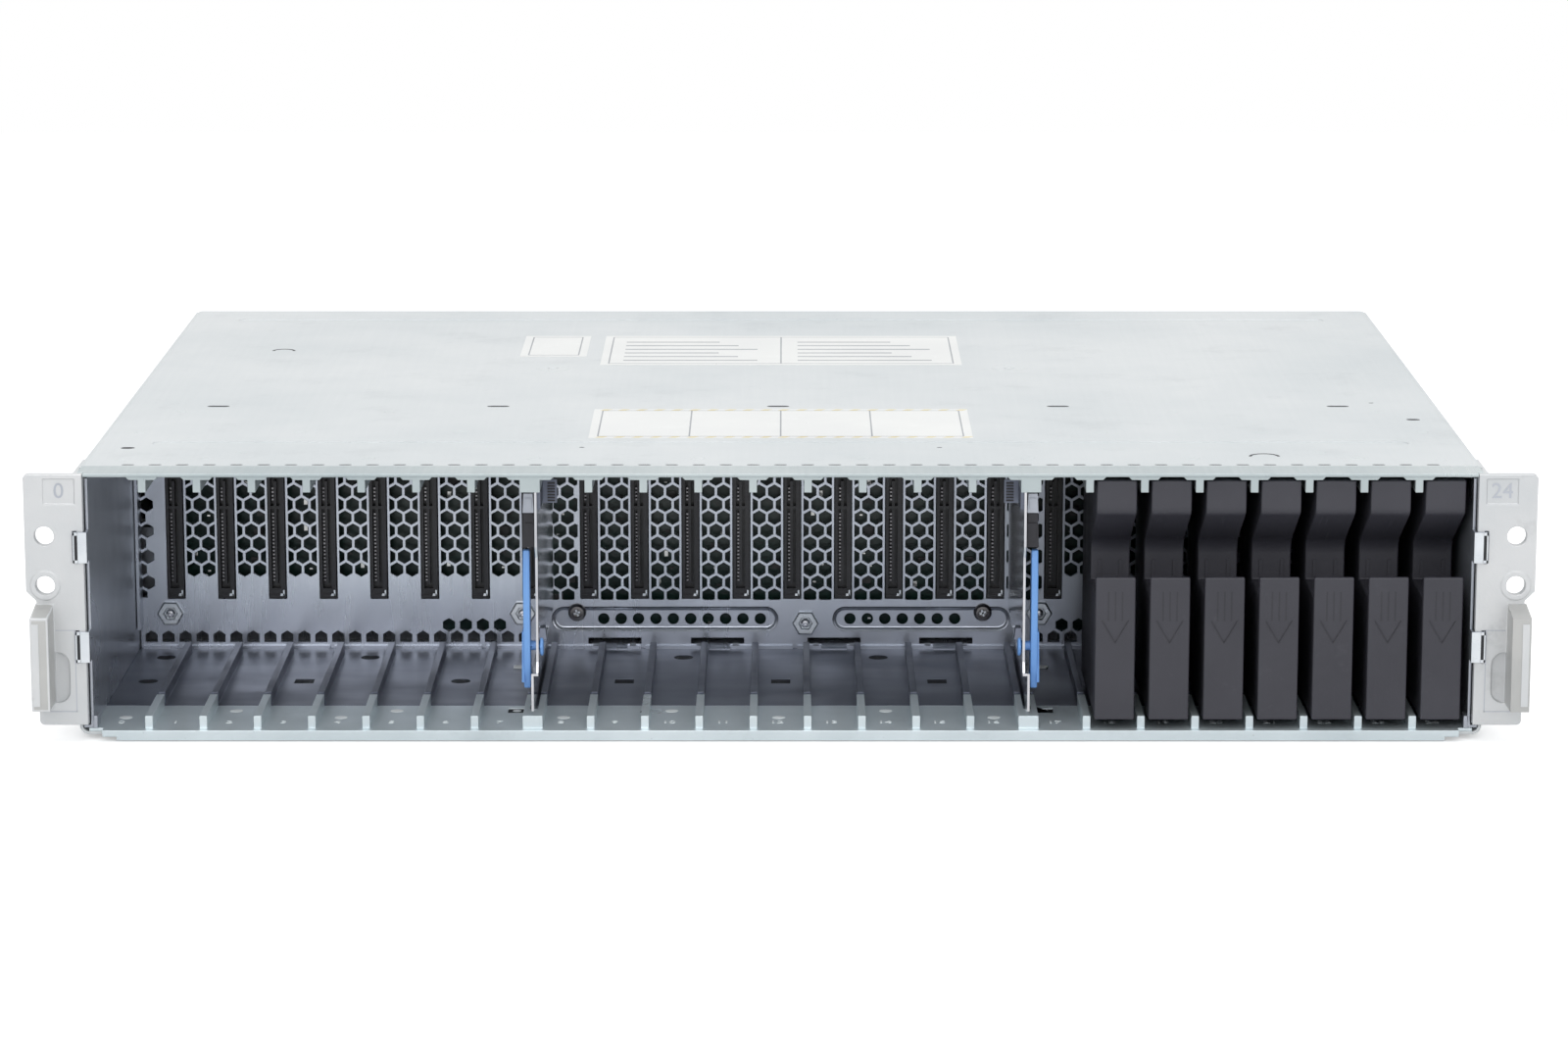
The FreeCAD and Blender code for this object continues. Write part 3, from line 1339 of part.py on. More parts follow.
def linkPorts(side):
    # metal cages of the two cable ports, open at the rear
    cages = []
    foot = linkOrigin() + dim.portFoot
    rear = dim.shellRear
    play = dim.seamGap / 2
    half = dim.portWidth / 2
    skin = dim.portSheet
    front = rear - dim.portDepth
    for x in portCentres(side):
        cageLow = (x - half + play, front, foot + play)
        cage = box(cageLow, (x + half - play, rear + dim.portProud, foot + dim.portHeight - play))
        mouthLow = (x - half + skin, front + skin, foot + skin)
        mouth = box(mouthLow, (x + half - skin, rear + dim.past * 2, foot + dim.portHeight - skin))
        cages.append(cut(cage, [mouth]))
    return group(cages)


# ---- assembly --------------------------------------------------------------------------------

piece("shell_base", shellBase())
piece("top_cover", topCover())
piece("ceiling_guide", ceilingGuide())
piece("front_floor", frontFloor())
piece("main_floor", mainFloor())
liner = sideLiner()
piece("side_liner_left", liner)
piece("side_liner_right", mirrored(liner))
ear = leftEar()
piece("ear_left", ear)
piece("ear_right", mirrored(ear))
screws = earScrews()
piece("ear_screws", group(screws + [mirrored(screw) for screw in screws]))
piece("midplane_shield", midplaneShield())
piece("midplane_board", midplaneBoard())
piece("drive_connectors", driveConnectors())
piece("shield_nuts", shieldNuts())
piece("board_screws", boardScrews())
piece("module_connectors", boardLinks())
divider = leftDivider()
piece("divider_left", divider)
piece("divider_right", mirrored(divider))
latch = leftLatch()
piece("divider_latch_left", latch)
piece("divider_latch_right", mirrored(latch))
for index in range(slotCount - int(dim.fillerCount.number), slotCount):
    piece(f"slot_filler_{index}", slotFiller(index))
piece("bay_wall", bayWall())
piece("module_shelves", moduleShelf())
for side, word in ((-1, "left"), (1, "right")):
    piece(f"power_case_{word}", powerCase(side))
    piece(f"power_face_{word}", powerFace(side))
    piece(f"fan_frames_{word}", fanFrames(side))
    for number in (0, 1):
        piece(f"fan_rotor_{word}_{number + 1}", fanRotor(side, number))
    piece(f"power_inlet_{word}", powerInlet(side))
    piece(f"power_lever_{word}", moduleLever(side, powerOrigin() + dim.powerLeverFoot))
    piece(f"link_tray_{word}", linkTray(side))
    piece(f"link_board_{word}", linkBoard(side))
    piece(f"link_ports_{word}", linkPorts(side))
    piece(f"link_lever_{word}", moduleLever(side, linkOrigin() + dim.linkLeverFoot))

doc.recompute()

# ---- checks and export -----------------------------------------------------------------------

for item in doc.Objects:
    if "Invalid" in item.State or "Error" in item.State:
        raise RuntimeError(f"{item.Name} ({item.Label}) failed: {item.State}")
for item in pieces:
    if item.Shape.isNull() or not item.Shape.isValid() or not item.Shape.Solids:
        raise RuntimeError(f"{item.Label} has no valid shape")

os.makedirs("parts", exist_ok=True)
for item in pieces:
    item.Shape.exportStep(f"parts/{item.Label}.step")
whole = Part.makeCompound([item.Shape for item in pieces])
limits = whole.BoundBox
print(f"{len(pieces)} pieces, {limits.XLength:.1f} x {limits.YLength:.1f} x {limits.ZLength:.1f} mm")
print(f"X {limits.XMin:.2f} {limits.XMax:.2f}  Y {limits.YMin:.2f} {limits.YMax:.2f}")
print(f"Z {limits.ZMin:.2f} {limits.ZMax:.2f}")
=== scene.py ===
import json
import math
import random

import bmesh
import bpy
from mathutils import Matrix, Vector

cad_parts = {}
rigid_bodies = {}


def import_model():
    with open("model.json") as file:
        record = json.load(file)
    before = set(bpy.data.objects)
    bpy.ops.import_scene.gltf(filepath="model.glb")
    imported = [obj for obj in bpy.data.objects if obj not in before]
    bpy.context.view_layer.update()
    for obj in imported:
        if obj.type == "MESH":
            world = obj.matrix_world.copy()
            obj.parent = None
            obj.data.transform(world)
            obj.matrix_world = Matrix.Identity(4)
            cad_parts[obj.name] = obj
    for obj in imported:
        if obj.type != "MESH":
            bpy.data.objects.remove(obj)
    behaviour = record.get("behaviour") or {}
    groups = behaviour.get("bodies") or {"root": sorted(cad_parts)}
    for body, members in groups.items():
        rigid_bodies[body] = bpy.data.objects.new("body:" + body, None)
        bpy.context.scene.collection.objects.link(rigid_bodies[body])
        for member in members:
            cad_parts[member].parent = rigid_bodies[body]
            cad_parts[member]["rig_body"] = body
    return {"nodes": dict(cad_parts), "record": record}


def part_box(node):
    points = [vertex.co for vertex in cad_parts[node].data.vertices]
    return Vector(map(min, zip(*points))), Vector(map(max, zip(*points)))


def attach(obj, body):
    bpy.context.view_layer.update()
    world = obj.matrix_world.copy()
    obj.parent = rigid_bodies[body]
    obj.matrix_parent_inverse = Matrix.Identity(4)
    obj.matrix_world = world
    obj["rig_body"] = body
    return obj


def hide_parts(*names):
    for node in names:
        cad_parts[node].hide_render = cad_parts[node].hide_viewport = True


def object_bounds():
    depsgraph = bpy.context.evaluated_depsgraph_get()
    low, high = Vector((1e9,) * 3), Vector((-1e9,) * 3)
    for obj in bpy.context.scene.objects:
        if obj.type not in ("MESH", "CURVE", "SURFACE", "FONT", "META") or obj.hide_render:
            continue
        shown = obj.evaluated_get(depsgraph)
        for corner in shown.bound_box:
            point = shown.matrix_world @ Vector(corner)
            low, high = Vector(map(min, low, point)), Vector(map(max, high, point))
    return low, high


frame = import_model()
cadLow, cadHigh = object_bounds()
mm = 0.001
dice = random.Random(7)
print("frame loaded:", len(frame["nodes"]), "nodes")


# places that the frame gives

mountPlaces = {mount["name"]: mount["pos_m"] for mount in frame["record"]["mounts"]}
earFace = mountPlaces["rack_ears"][1]     # Y of the ears' front face
slotCount = 25
sideSlots = 8


def middleX(node):
    low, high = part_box(node)
    return (low.x + high.x) / 2


slotPitch = middleX("slot_filler_24") - middleX("slot_filler_23")
dividerGap = middleX("slot_filler_24") - slotPitch * (slotCount - 1) / 2


def slotX(index):
    side = -1 if index < sideSlots else (1 if index >= slotCount - sideSlots else 0)
    return slotPitch * (index - (slotCount - 1) / 2) + dividerGap * side


def railX(index):
    return (slotX(index - 1) + slotX(index)) / 2


bothSides = ((-1, "left"), (1, "right"))
wideRails = (sideSlots, slotCount - sideSlots)     # the rails that hold the dividers
bayHalf = slotX(slotCount - 1) + slotPitch / 2 + 0.3 * mm
shieldLow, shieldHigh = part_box("midplane_shield")
connectorLow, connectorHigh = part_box("drive_connectors")
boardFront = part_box("midplane_board")[0].y
floorTop = shieldLow.z
ceilingUnder = shieldHigh.z
shieldY = connectorLow.y - 0.2 * mm
connectorShift = (connectorLow.x + connectorHigh.x) / 2


def at(x, y, z):
    # millimetres from the middle of the ears' front face, at the foot of the shelf
    return Vector((x * mm, earFace + y * mm, z * mm))


# mesh makers

def placed(bm, added, matrix):
    bmesh.ops.transform(bm, matrix=matrix, verts=added)


def bridge(bm, first, second):
    # closes the band between two rings of the same count
    for i, (a, b) in enumerate(zip(first, second)):
        j = (i + 1) % len(first)
        bm.faces.new((a, first[j], second[j], b))


def addBlock(bm, low, high, slope=0.0):
    # a block between two corners; slope draws its upper end in along X
    low, high = Vector(low), Vector(high)
    rows = []
    for z, inset in ((low.z, 0.0), (high.z, slope)):
        rows.append([bm.verts.new((x, y, z)) for x, y in (
            (low.x + inset, low.y), (high.x - inset, low.y), (high.x - inset, high.y), (low.x + inset, high.y))])
    bm.faces.new(reversed(rows[0]))
    bm.faces.new(rows[1])
    bridge(bm, *rows)
    return rows[0] + rows[1]


def shieldBlock(bm, x0, x1, y0, y1, z0, z1, slope=0.0):
    # a block in millimetres; y0 and y1 are distances behind the shield's face
    return addBlock(bm, (x0 * mm, shieldY + y0 * mm, z0 * mm), (x1 * mm, shieldY + y1 * mm, z1 * mm), slope * mm)


def sideBlock(bm, side, x0, x1, y0, y1, z0, z1, slope=0.0):
    # a block in millimetres; x0 and x1 are distances from the middle, on the side that the sign names
    x0, x1 = sorted((side * x0, side * x1))
    return addBlock(bm, at(x0, y0, z0), at(x1, y1, z1), slope * mm)


def addTurned(bm, outline, sides, matrix):
    # a turned piece: outline is (radius, height) pairs in millimetres, from its foot up
    rings = []
    for radius, height in ((r * mm, h * mm) for r, h in outline):
        if radius < 1e-7:
            rings.append([bm.verts.new((0, 0, height))])
        else:
            ring = []
            for step in range(sides):
                angle = 2 * math.pi * step / sides
                ring.append(bm.verts.new((radius * math.cos(angle), radius * math.sin(angle), height)))
            rings.append(ring)
    for lower, upper in zip(rings, rings[1:]):
        for i in range(sides):
            j = (i + 1) % sides
            a = [lower[i % len(lower)], lower[j % len(lower)], upper[j % len(upper)], upper[i % len(upper)]]
            corners = list(dict.fromkeys(a))
            if len(corners) > 2:
                bm.faces.new(corners)
    for ring, flip in ((rings[0], True), (rings[-1], False)):
        if len(ring) > 2:
            bm.faces.new(reversed(ring) if flip else ring)
    added = [vert for ring in rings for vert in ring]
    placed(bm, added, matrix)
    return added


def addMesh(bm, mesh, matrix):
    # a finished mesh added to another, with its new points moved by matrix
    before = len(bm.verts)
    bm.from_mesh(mesh)
    bm.verts.ensure_lookup_table()
    added = bm.verts[before:]
    placed(bm, added, matrix)
    return added


def ringOf(x, y, radius, sides, first=0.0):
    return [(x + radius * math.cos(first + 2 * math.pi * i / sides),
             y + radius * math.sin(first + 2 * math.pi * i / sides)) for i in range(sides)]


def obroundOf(x0, x1, y, radius, sides=8):
    # a long ring with round ends, from x0 to x1
    ring = []
    for i in range(sides + 1):
        angle = -math.pi / 2 + math.pi * i / sides
        ring.append((x1 - radius + radius * math.cos(angle), y + radius * math.sin(angle)))
    for i in range(sides + 1):
        angle = math.pi / 2 + math.pi * i / sides
        ring.append((x0 + radius + radius * math.cos(angle), y + radius * math.sin(angle)))
    return ring


def rectangleOf(x0, x1, y0, y1):
    return [(x0, y0), (x1, y0), (x1, y1), (x0, y1)]


def linked(name, data):
    holder = bpy.data.objects.new(name, data)
    bpy.context.scene.collection.objects.link(holder)
    return holder


def evaluated(holder):
    # an object's mesh with its modifiers or curve settings worked out
    bpy.context.view_layer.update()
    return bpy.data.meshes.new_from_object(holder.evaluated_get(bpy.context.evaluated_depsgraph_get()))


def sheetMesh(name, outer, holes, thickness, edge):
    # a flat sheet with holes in the XY plane, its edges softened, from 0 up to thickness
    curve = bpy.data.curves.new(name, "CURVE")
    curve.dimensions = "2D"
    curve.fill_mode = "BOTH"
    curve.extrude = thickness / 2 - edge
    curve.bevel_depth = edge
    curve.bevel_resolution = 0
    curve.offset = -edge
    for ring in [outer] + list(holes):
        spline = curve.splines.new("POLY")
        spline.points.add(len(ring) - 1)
        for point, (x, y) in zip(spline.points, ring):
            point.co = (x, y, 0, 1)
        spline.use_cyclic_u = True
    holder = linked(name, curve)
    mesh = evaluated(holder)
    bpy.data.objects.remove(holder)
    mesh.transform(Matrix.Translation((0, 0, thickness / 2)))
    return mesh


upright = Matrix(((1, 0, 0, 0), (0, 0, 1, 0), (0, 1, 0, 0), (0, 0, 0, 1)))     # XY sheet stood up in XZ, growing to +Y


def wordMesh(text, size, depth):
    curve = bpy.data.curves.new("word", "FONT")
    curve.body = text
    curve.size = size
    curve.extrude = depth / 2
    curve.align_x = "CENTER"
    curve.align_y = "CENTER"
    curve.resolution_u = 3
    holder = linked("word", curve)
    mesh = evaluated(holder)
    bpy.data.objects.remove(holder)
    return mesh


def closeMesh(name, bm, angle=32):
    bmesh.ops.recalc_face_normals(bm, faces=bm.faces)
    mesh = bpy.data.meshes.new(name)
    bm.to_mesh(mesh)
    bm.free()
    mesh.shade_smooth()
    mesh.set_sharp_from_angle(angle=math.radians(angle))
    return mesh


def softened(bm, width, segments=2, angle=35):
    # rounds every edge that turns by more than angle; width is in millimetres
    edges = []
    for edge in bm.edges:
        if len(edge.link_faces) == 2 and edge.calc_face_angle(0) > math.radians(angle):
            edges.append(edge)
    bmesh.ops.bevel(bm, geom=edges, offset=width * mm, offset_type="OFFSET", segments=segments,
                    profile=0.5, affect="EDGES", clamp_overlap=False, loop_slide=True)
    return bm


def nodeMesh(node):
    # a copy of a node's mesh, its facets joined back into whole faces
    bm = bmesh.new()
    bm.from_mesh(frame["nodes"][node].data)
    bmesh.ops.remove_doubles(bm, verts=bm.verts, dist=2e-6)
    bmesh.ops.dissolve_limit(bm, angle_limit=math.radians(0.6), verts=bm.verts, edges=bm.edges)
    return bm


def cutterPegs(places, sides=16):
    # closed pegs to cut with: each place is (low corner, high corner), round seen from above if square
    bm = bmesh.new()
    for low, high in places:
        long = high.x - low.x
        wide = high.y - low.y
        radius = min(long, wide) / 2
        middle = (low.y + high.y) / 2
        ring = obroundOf(low.x, high.x, middle, radius, sides // 2) if long >= wide else rectangleOf(low.x, high.x,
                                                                                                     low.y, high.y)
        rows = [[bm.verts.new((x, y, z)) for x, y in ring] for z in (low.z, high.z)]
        bm.faces.new(reversed(rows[0]))
        bm.faces.new(rows[1])
        bridge(bm, *rows)
    bmesh.ops.remove_doubles(bm, verts=bm.verts, dist=1e-7)
    bmesh.ops.recalc_face_normals(bm, faces=bm.faces)
    return bm


def carved(bm, cutters):
    # a mesh with the cutters taken out of it
    parts = []
    for part in (bm, cutters):
        mesh = bpy.data.meshes.new("part")
        part.to_mesh(mesh)
        part.free()
        parts.append(linked("part", mesh))
    tool = parts[0].modifiers.new("carve", "BOOLEAN")
    tool.operation = "DIFFERENCE"
    tool.solver = "EXACT"
    tool.object = parts[1]
    mesh = evaluated(parts[0])
    for holder in parts:
        bpy.data.objects.remove(holder)
    result = bmesh.new()
    result.from_mesh(mesh)
    bmesh.ops.remove_doubles(result, verts=result.verts, dist=1e-6)
    return result


def bodyOf(node):
    return frame["nodes"][node]["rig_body"]


def addPiece(name, bm, finish, slotName, body="chassis", stands=(), angle=32):
    # closes a mesh into a visible piece, with its look and body, and the nodes it stands for
    piece = linked(name, closeMesh(name, bm, angle))
    piece.data.materials.append(finishes[finish])
    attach(piece, body)
    if stands:
        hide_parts(*stands)
    return piece


def evenNormals(piece):
    # keeps flat faces flat beside their rounded edges
    weighted = piece.modifiers.new("weighted", "WEIGHTED_NORMAL")
    weighted.keep_sharp = True
    weighted.weight = 60
    mesh = evaluated(piece)
    piece.modifiers.clear()
    piece.data = mesh


def softCopy(node, name, finish, slotName, width, segments=2, cutters=None):
    # a node's own shape with rounded edges, and holes where there are cutters
    bm = nodeMesh(node)
    if cutters:
        bm = carved(bm, cutters)
    softened(bm, width, segments)
    evenNormals(addPiece(name, bm, finish, slotName, bodyOf(node), (node,), 50))


# finishes

class Finish:
    # a node material with short calls for its wires

    def __init__(self, name):
        self.material = bpy.data.materials.new(name)
        self.material.use_nodes = True
        self.tree = self.material.node_tree
        self.shader = self.tree.nodes["Principled BSDF"]
        self.coords = self.tree.nodes.new("ShaderNodeTexCoord").outputs["Object"]

    def node(self, kind, **values):
        made = self.tree.nodes.new(kind)
        for name, value in values.items():
            setattr(made, name, value)
        return made

    def wire(self, start, end):
        self.tree.links.new(start, end)

    def stretched(self, scale):
        mapping = self.node("ShaderNodeMapping")
        mapping.inputs["Scale"].default_value = scale
        self.wire(self.coords, mapping.inputs["Vector"])
        return mapping.outputs["Vector"]

    def noise(self, scale, detail=3.0, roughness=0.55, vector=None):
        made = self.node("ShaderNodeTexNoise")
        made.inputs["Scale"].default_value = scale
        made.inputs["Detail"].default_value = detail
        made.inputs["Roughness"].default_value = roughness
        self.wire(vector or self.coords, made.inputs["Vector"])
        return made.outputs["Fac"]

    def cells(self, scale, vector=None):
        made = self.node("ShaderNodeTexVoronoi")
        made.inputs["Scale"].default_value = scale
        self.wire(vector or self.coords, made.inputs["Vector"])
        return made

    def ranged(self, value, fromLow, fromHigh, toLow, toHigh):
        made = self.node("ShaderNodeMapRange")
        self.wire(value, made.inputs["Value"])
        for name, number in zip(("From Min", "From Max", "To Min", "To Max"), (fromLow, fromHigh, toLow, toHigh)):
            made.inputs[name].default_value = number
        return made.outputs["Result"]

    def mixed(self, share, first, second):
        made = self.node("ShaderNodeMix", data_type="RGBA")
        self.wire(share, made.inputs["Factor"])
        for place, colour in ((6, first), (7, second)):
            if isinstance(colour, tuple):
                made.inputs[place].default_value = (*colour, 1)
            else:
                self.wire(colour, made.inputs[place])
        return made.outputs[2]

    def math(self, operation, first, second):
        made = self.node("ShaderNodeMath", operation=operation)
        for place, value in ((0, first), (1, second)):
            if isinstance(value, (int, float)):
                made.inputs[place].default_value = value
            else:
                self.wire(value, made.inputs[place])
        return made.outputs[0]

    def bump(self, height, distance, strength=1.0, before=None):
        made = self.node("ShaderNodeBump")
        made.inputs["Strength"].default_value = strength
        made.inputs["Distance"].default_value = distance
        self.wire(height, made.inputs["Height"])
        if before:
            self.wire(before, made.inputs["Normal"])
        return made.outputs["Normal"]

    def finish(self, colour=None, roughness=None, normal=None, **values):
        if colour:
            self.wire(colour, self.shader.inputs["Base Color"])
        if roughness:
            self.wire(roughness, self.shader.inputs["Roughness"])
        if normal:
            self.wire(normal, self.shader.inputs["Normal"])
        for name, value in values.items():
            self.shader.inputs[name.replace("_", " ")].default_value = value
        return self.material


def tone(red, green, blue):
    # a colour from the usual 0 to 255 scale
    def straight(value):
        value /= 255
        return value / 12.92 if value <= 0.04045 else ((value + 0.055) / 1.055) ** 2.4
    return (straight(red), straight(green), straight(blue))


def zincSheet(name, light, dark, metal, shine, grain=(500, 14, 14), wear=0.5, gloss=0.5):
    # zinc-plated sheet: soft clouds, faint crystals, rolling lines and a few rubbed spots
    made = Finish(name)
    clouds = made.ranged(made.noise(9, 4, 0.6), 0.35, 0.68, 0, 1)
    crystals = made.cells(150)
    crystalShare = made.ranged(crystals.outputs["Color"], 0, 1, 0, 0.35)
    base = made.mixed(clouds, light, dark)
    base = made.mixed(crystalShare, base, tuple(0.5 * (a + b) for a, b in zip(light, dark)))
    smudges = made.ranged(made.noise(34, 5, 0.7), 0.56, 0.8, 0, wear)
    base = made.mixed(smudges, base, tuple(c * 0.62 for c in dark))
    specks = made.ranged(made.noise(900, 2, 0.5), 0.7, 0.78, 0, wear * 0.8)
    base = made.mixed(specks, base, tuple(c * 0.45 for c in dark))
    rolling = made.noise(1, 3, 0.6, made.stretched(grain))
    rough = made.math("ADD", made.ranged(clouds, 0, 1, shine[0], shine[1]), made.ranged(rolling, 0.3, 0.7, -0.05, 0.05))
    normal = made.bump(rolling, 0.00004, 0.5)
    normal = made.bump(made.noise(26, 2, 0.5), 0.00018, 0.35, normal)
    return made.finish(base, rough, normal, Metallic=metal, Specular_IOR_Level=gloss)


def castMetal(name, light, dark, metal=0.3):
    # cast and tumbled metal: fine grain and rubbed high spots
    made = Finish(name)
    clouds = made.ranged(made.noise(22, 4, 0.6), 0.35, 0.65, 0, 1)
    base = made.mixed(clouds, light, dark)
    stains = made.ranged(made.noise(80, 5, 0.7), 0.58, 0.78, 0, 0.4)
    base = made.mixed(stains, base, tuple(c * 0.6 for c in dark))
    grain = made.noise(1800, 2, 0.5)
    rough = made.ranged(made.noise(60, 3, 0.6), 0.3, 0.7, 0.34, 0.5)
    return made.finish(base, rough, made.bump(grain, 0.00006, 0.6), Metallic=metal)


def brightSteel(name, light, dark, shine=(0.16, 0.3), depth=0.5):
    made = Finish(name)
    lines = made.noise(1, 3, 0.6, made.stretched((40, 40, 700)))
    base = made.mixed(made.ranged(made.noise(30, 4, 0.6), 0.35, 0.65, 0, 1), light, dark)
    rough = made.ranged(lines, 0.3, 0.7, *shine)
    return made.finish(base, rough, made.bump(lines, 0.00003, depth), Metallic=1.0)


def mouldedPlastic(name, light, dark, shine=(0.42, 0.56), grainSize=1500, depth=0.00005):
    # moulded plastic: fine spark-eroded grain, dust and faint handling marks
    made = Finish(name)
    base = made.mixed(made.ranged(made.noise(18, 4, 0.6), 0.35, 0.65, 0, 1), light, dark)
    dust = made.ranged(made.noise(120, 6, 0.75), 0.6, 0.85, 0, 0.35)
    base = made.mixed(dust, base, tuple(min(1, c * 1.5 + 0.02) for c in light))
    scuffs = made.noise(1, 2, 0.5, made.stretched((900, 60, 25)))
    rough = made.math("ADD", made.ranged(made.noise(45, 4, 0.6), 0.3, 0.7, *shine),
                      made.ranged(scuffs, 0.62, 0.75, 0, -0.1))
    normal = made.bump(made.noise(grainSize, 2, 0.5), depth, 0.6)
    return made.finish(base, rough, normal)


def boardCoat(name, coat, track, partsFrom=None):
    # solder mask with buried tracks
    made = Finish(name)
    tracks = made.cells(420, made.stretched((1, 1, 2.2)))
    lines = made.ranged(tracks.outputs["Distance"], 0.32, 0.4, 0, 1)
    base = made.mixed(lines, coat, track)
    base = made.mixed(made.ranged(made.noise(60, 3), 0.4, 0.7, 0, 0.6), base, tuple(c * 0.5 for c in coat))
    if partsFrom:
        # whatever stands above the board is dark
        height = made.node("ShaderNodeSeparateXYZ")
        made.wire(made.coords, height.inputs[0])
        base = made.mixed(made.math("GREATER_THAN", height.outputs["Z"], partsFrom), base, tone(52, 54, 58))
    return made.finish(base, made.ranged(made.noise(90, 2), 0.3, 0.7, 0.3, 0.45), made.bump(lines, 0.00003, 0.5))


finishes = {
    "shell": zincSheet("shellZinc", tone(213, 216, 217), tone(200, 205, 207), 0.15, (0.5, 0.6), wear=0.25, gloss=0.25),
    "ceiling": zincSheet("ceilingZinc", tone(190, 199, 200), tone(166, 177, 180), 0.6, (0.28, 0.38), wear=0.3),
    # painted light: the front strip's zinc is a lighter copy of the same floor sheet, as lit at the front of the shelf
    "frontStrip": zincSheet("floorZincLit", tone(222, 232, 236), tone(190, 202, 207), 0.6, (0.3, 0.4),
                            (60, 60, 14), 0.3),
    # painted shade: the main floor's zinc is a darker copy of the same sheet, for the shade inside the shelf; the
    # divider tabs use it too
    "floor": zincSheet("floorZincShaded", tone(126, 131, 145), tone(98, 103, 116), 0.85, (0.34, 0.44), (16, 60, 14), 0.3),
    "shield": zincSheet("shieldZinc", tone(196, 201, 211), tone(175, 181, 193), 0.8, (0.24, 0.34), (300, 14, 20), 0.25),
    "liner": zincSheet("linerZinc", tone(186, 190, 198), tone(150, 156, 166), 0.75, (0.26, 0.36)),
    "ear": castMetal("earCasting", tone(211, 212, 213), tone(199, 202, 204)),
    "hook": brightSteel("hookSteel", tone(226, 230, 234), tone(198, 204, 210), (0.24, 0.36)),
    "bright": brightSteel("dividerSteel", tone(222, 222, 224), tone(190, 192, 198), (0.1, 0.18), 0.2),
    "screw": brightSteel("screwSteel", tone(128, 126, 126), tone(84, 82, 84), (0.25, 0.4)),
    "connector": mouldedPlastic("connectorPlastic", tone(34, 34, 42), tone(22, 22, 28), (0.3, 0.44)),
    "contact": brightSteel("contactMetal", tone(150, 148, 150), tone(110, 108, 112), (0.3, 0.42)),
    "board": boardCoat("boardCoat", tone(16, 62, 44), tone(30, 92, 66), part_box("link_board_left")[0].z + 6.65 * mm),
    # the midplane coat: its own dark green mask, made darker still as painted shade for the deep space behind the
    # shield
    "midplane": boardCoat("midplaneMaskAndShade", tone(12, 34, 31), tone(20, 50, 44)),
    "chip": mouldedPlastic("chipPlastic", tone(30, 30, 32), tone(20, 20, 22), (0.35, 0.5)),
    "blue": mouldedPlastic("latchPlastic", tone(112, 160, 220), tone(94, 142, 206), (0.32, 0.44)),
    "filler": mouldedPlastic("fillerPlastic", tone(56, 56, 64), tone(47, 47, 55), (0.44, 0.56)),
    "arrow": mouldedPlastic("arrowPlastic", tone(50, 50, 56), tone(44, 44, 50), (0.6, 0.7)),
    "lever": mouldedPlastic("leverPlastic", tone(126, 130, 136), tone(106, 110, 116)),
    "fan": mouldedPlastic("fanPlastic", tone(34, 34, 36), tone(24, 24, 26), (0.36, 0.5)),
    "port": brightSteel("portSteel", tone(206, 206, 204), tone(168, 168, 166), (0.2, 0.32)),
    "label": mouldedPlastic("labelFilm", tone(228, 229, 227), tone(222, 223, 222), (0.34, 0.44), 300, 0.00002),
    # painted highlight: a flat white for stamped numbers, low domes, lanced tabs and a small frame, standing for the
    # light they catch
    "paintedGlint": mouldedPlastic("paintedHighlight", tone(244, 247, 248), tone(232, 238, 240), (0.3, 0.4), 300, 0.00002),
    "print": mouldedPlastic("printInk", tone(168, 170, 174), tone(150, 153, 158), (0.5, 0.6)),
    "faint": mouldedPlastic("faintInk", tone(184, 188, 196), tone(174, 178, 187), (0.5, 0.6)),
    "bar": castMetal("barCasting", tone(190, 190, 188), tone(172, 173, 172)),
    "band": mouldedPlastic("bandInk", tone(224, 212, 168), tone(214, 200, 152), (0.5, 0.6)),
    "green": mouldedPlastic("greenLens", tone(64, 168, 92), tone(48, 146, 76), (0.2, 0.3), 300, 0.00002),
    "amber": mouldedPlastic("amberLens", tone(214, 150, 52), tone(196, 132, 40), (0.2, 0.3), 300, 0.00002),
    # painted shade: one flat dark colour for the holes, slots and gaps, where only shade is seen
    "dark": mouldedPlastic("paintedGapShade", tone(36, 38, 42), tone(24, 26, 30), (0.6, 0.75)),
}
print("finishes made:", len(finishes))


# shell: floor, walls and cover

shellLook = {"shellRound": 0.25, "stripRound": 0.2}
softCopy("shell_base", "shellBody", "shell", "galvanised", shellLook["shellRound"])
softCopy("ceiling_guide", "ceilingStrip", "ceiling", "galvanised", shellLook["stripRound"])


# cover: slits, holes, seam marks, pressed spots and two bare labels

coverLook = {
    "slitPitch": 95.0, "slitPlace": 122.5, "slitLength": 7.6, "slitWidth": 3.0, "slitShift": -0.9,
    "seamPlace": 16.0, "seamLength": 4.2, "seamWidth": 1.9, "seamDepth": 0.85,
    "sideHoles": ((-211.5, 45.2), (211.5, 97.0)), "sideHoleSize": (4.6, 3.4),
    "smallHoles": ((-133.0, 111.4), (-64.4, 46.3), (51.5, 46.0), (201.2, 129.0)), "smallHoleSize": (1.9, 1.6),
    "shadeGrow": 0.4, "shadeHead": 0.14, "shadeFoot": 0.3,
    "spotPitch": 52.8, "spotRows": (27.0, 73.5), "spotRadius": 2.3, "spotReach": 215, "spotClear": 70,
    "cornerSpots": ((132.0, 111.0), (202.0, 112.0), (174.0, 37.0), (211.0, 24.0)),
    "padReach": 81.0, "padPlace": 200.0, "padRadius": 6.5,
    "arcs": ((-180.3, 237.0, 4.2), (155.3, 30.0, 5.0)), "arcWidth": 0.9, "edgeRound": 0.16,
}
coverTop = cadHigh.z


def pegAt(x, y, z0, z1, long, wide):
    # the corners of an upright peg centred on a place in millimetres
    return (at(x - long / 2, y - wide / 2, z0), at(x + long / 2, y + wide / 2, z1))


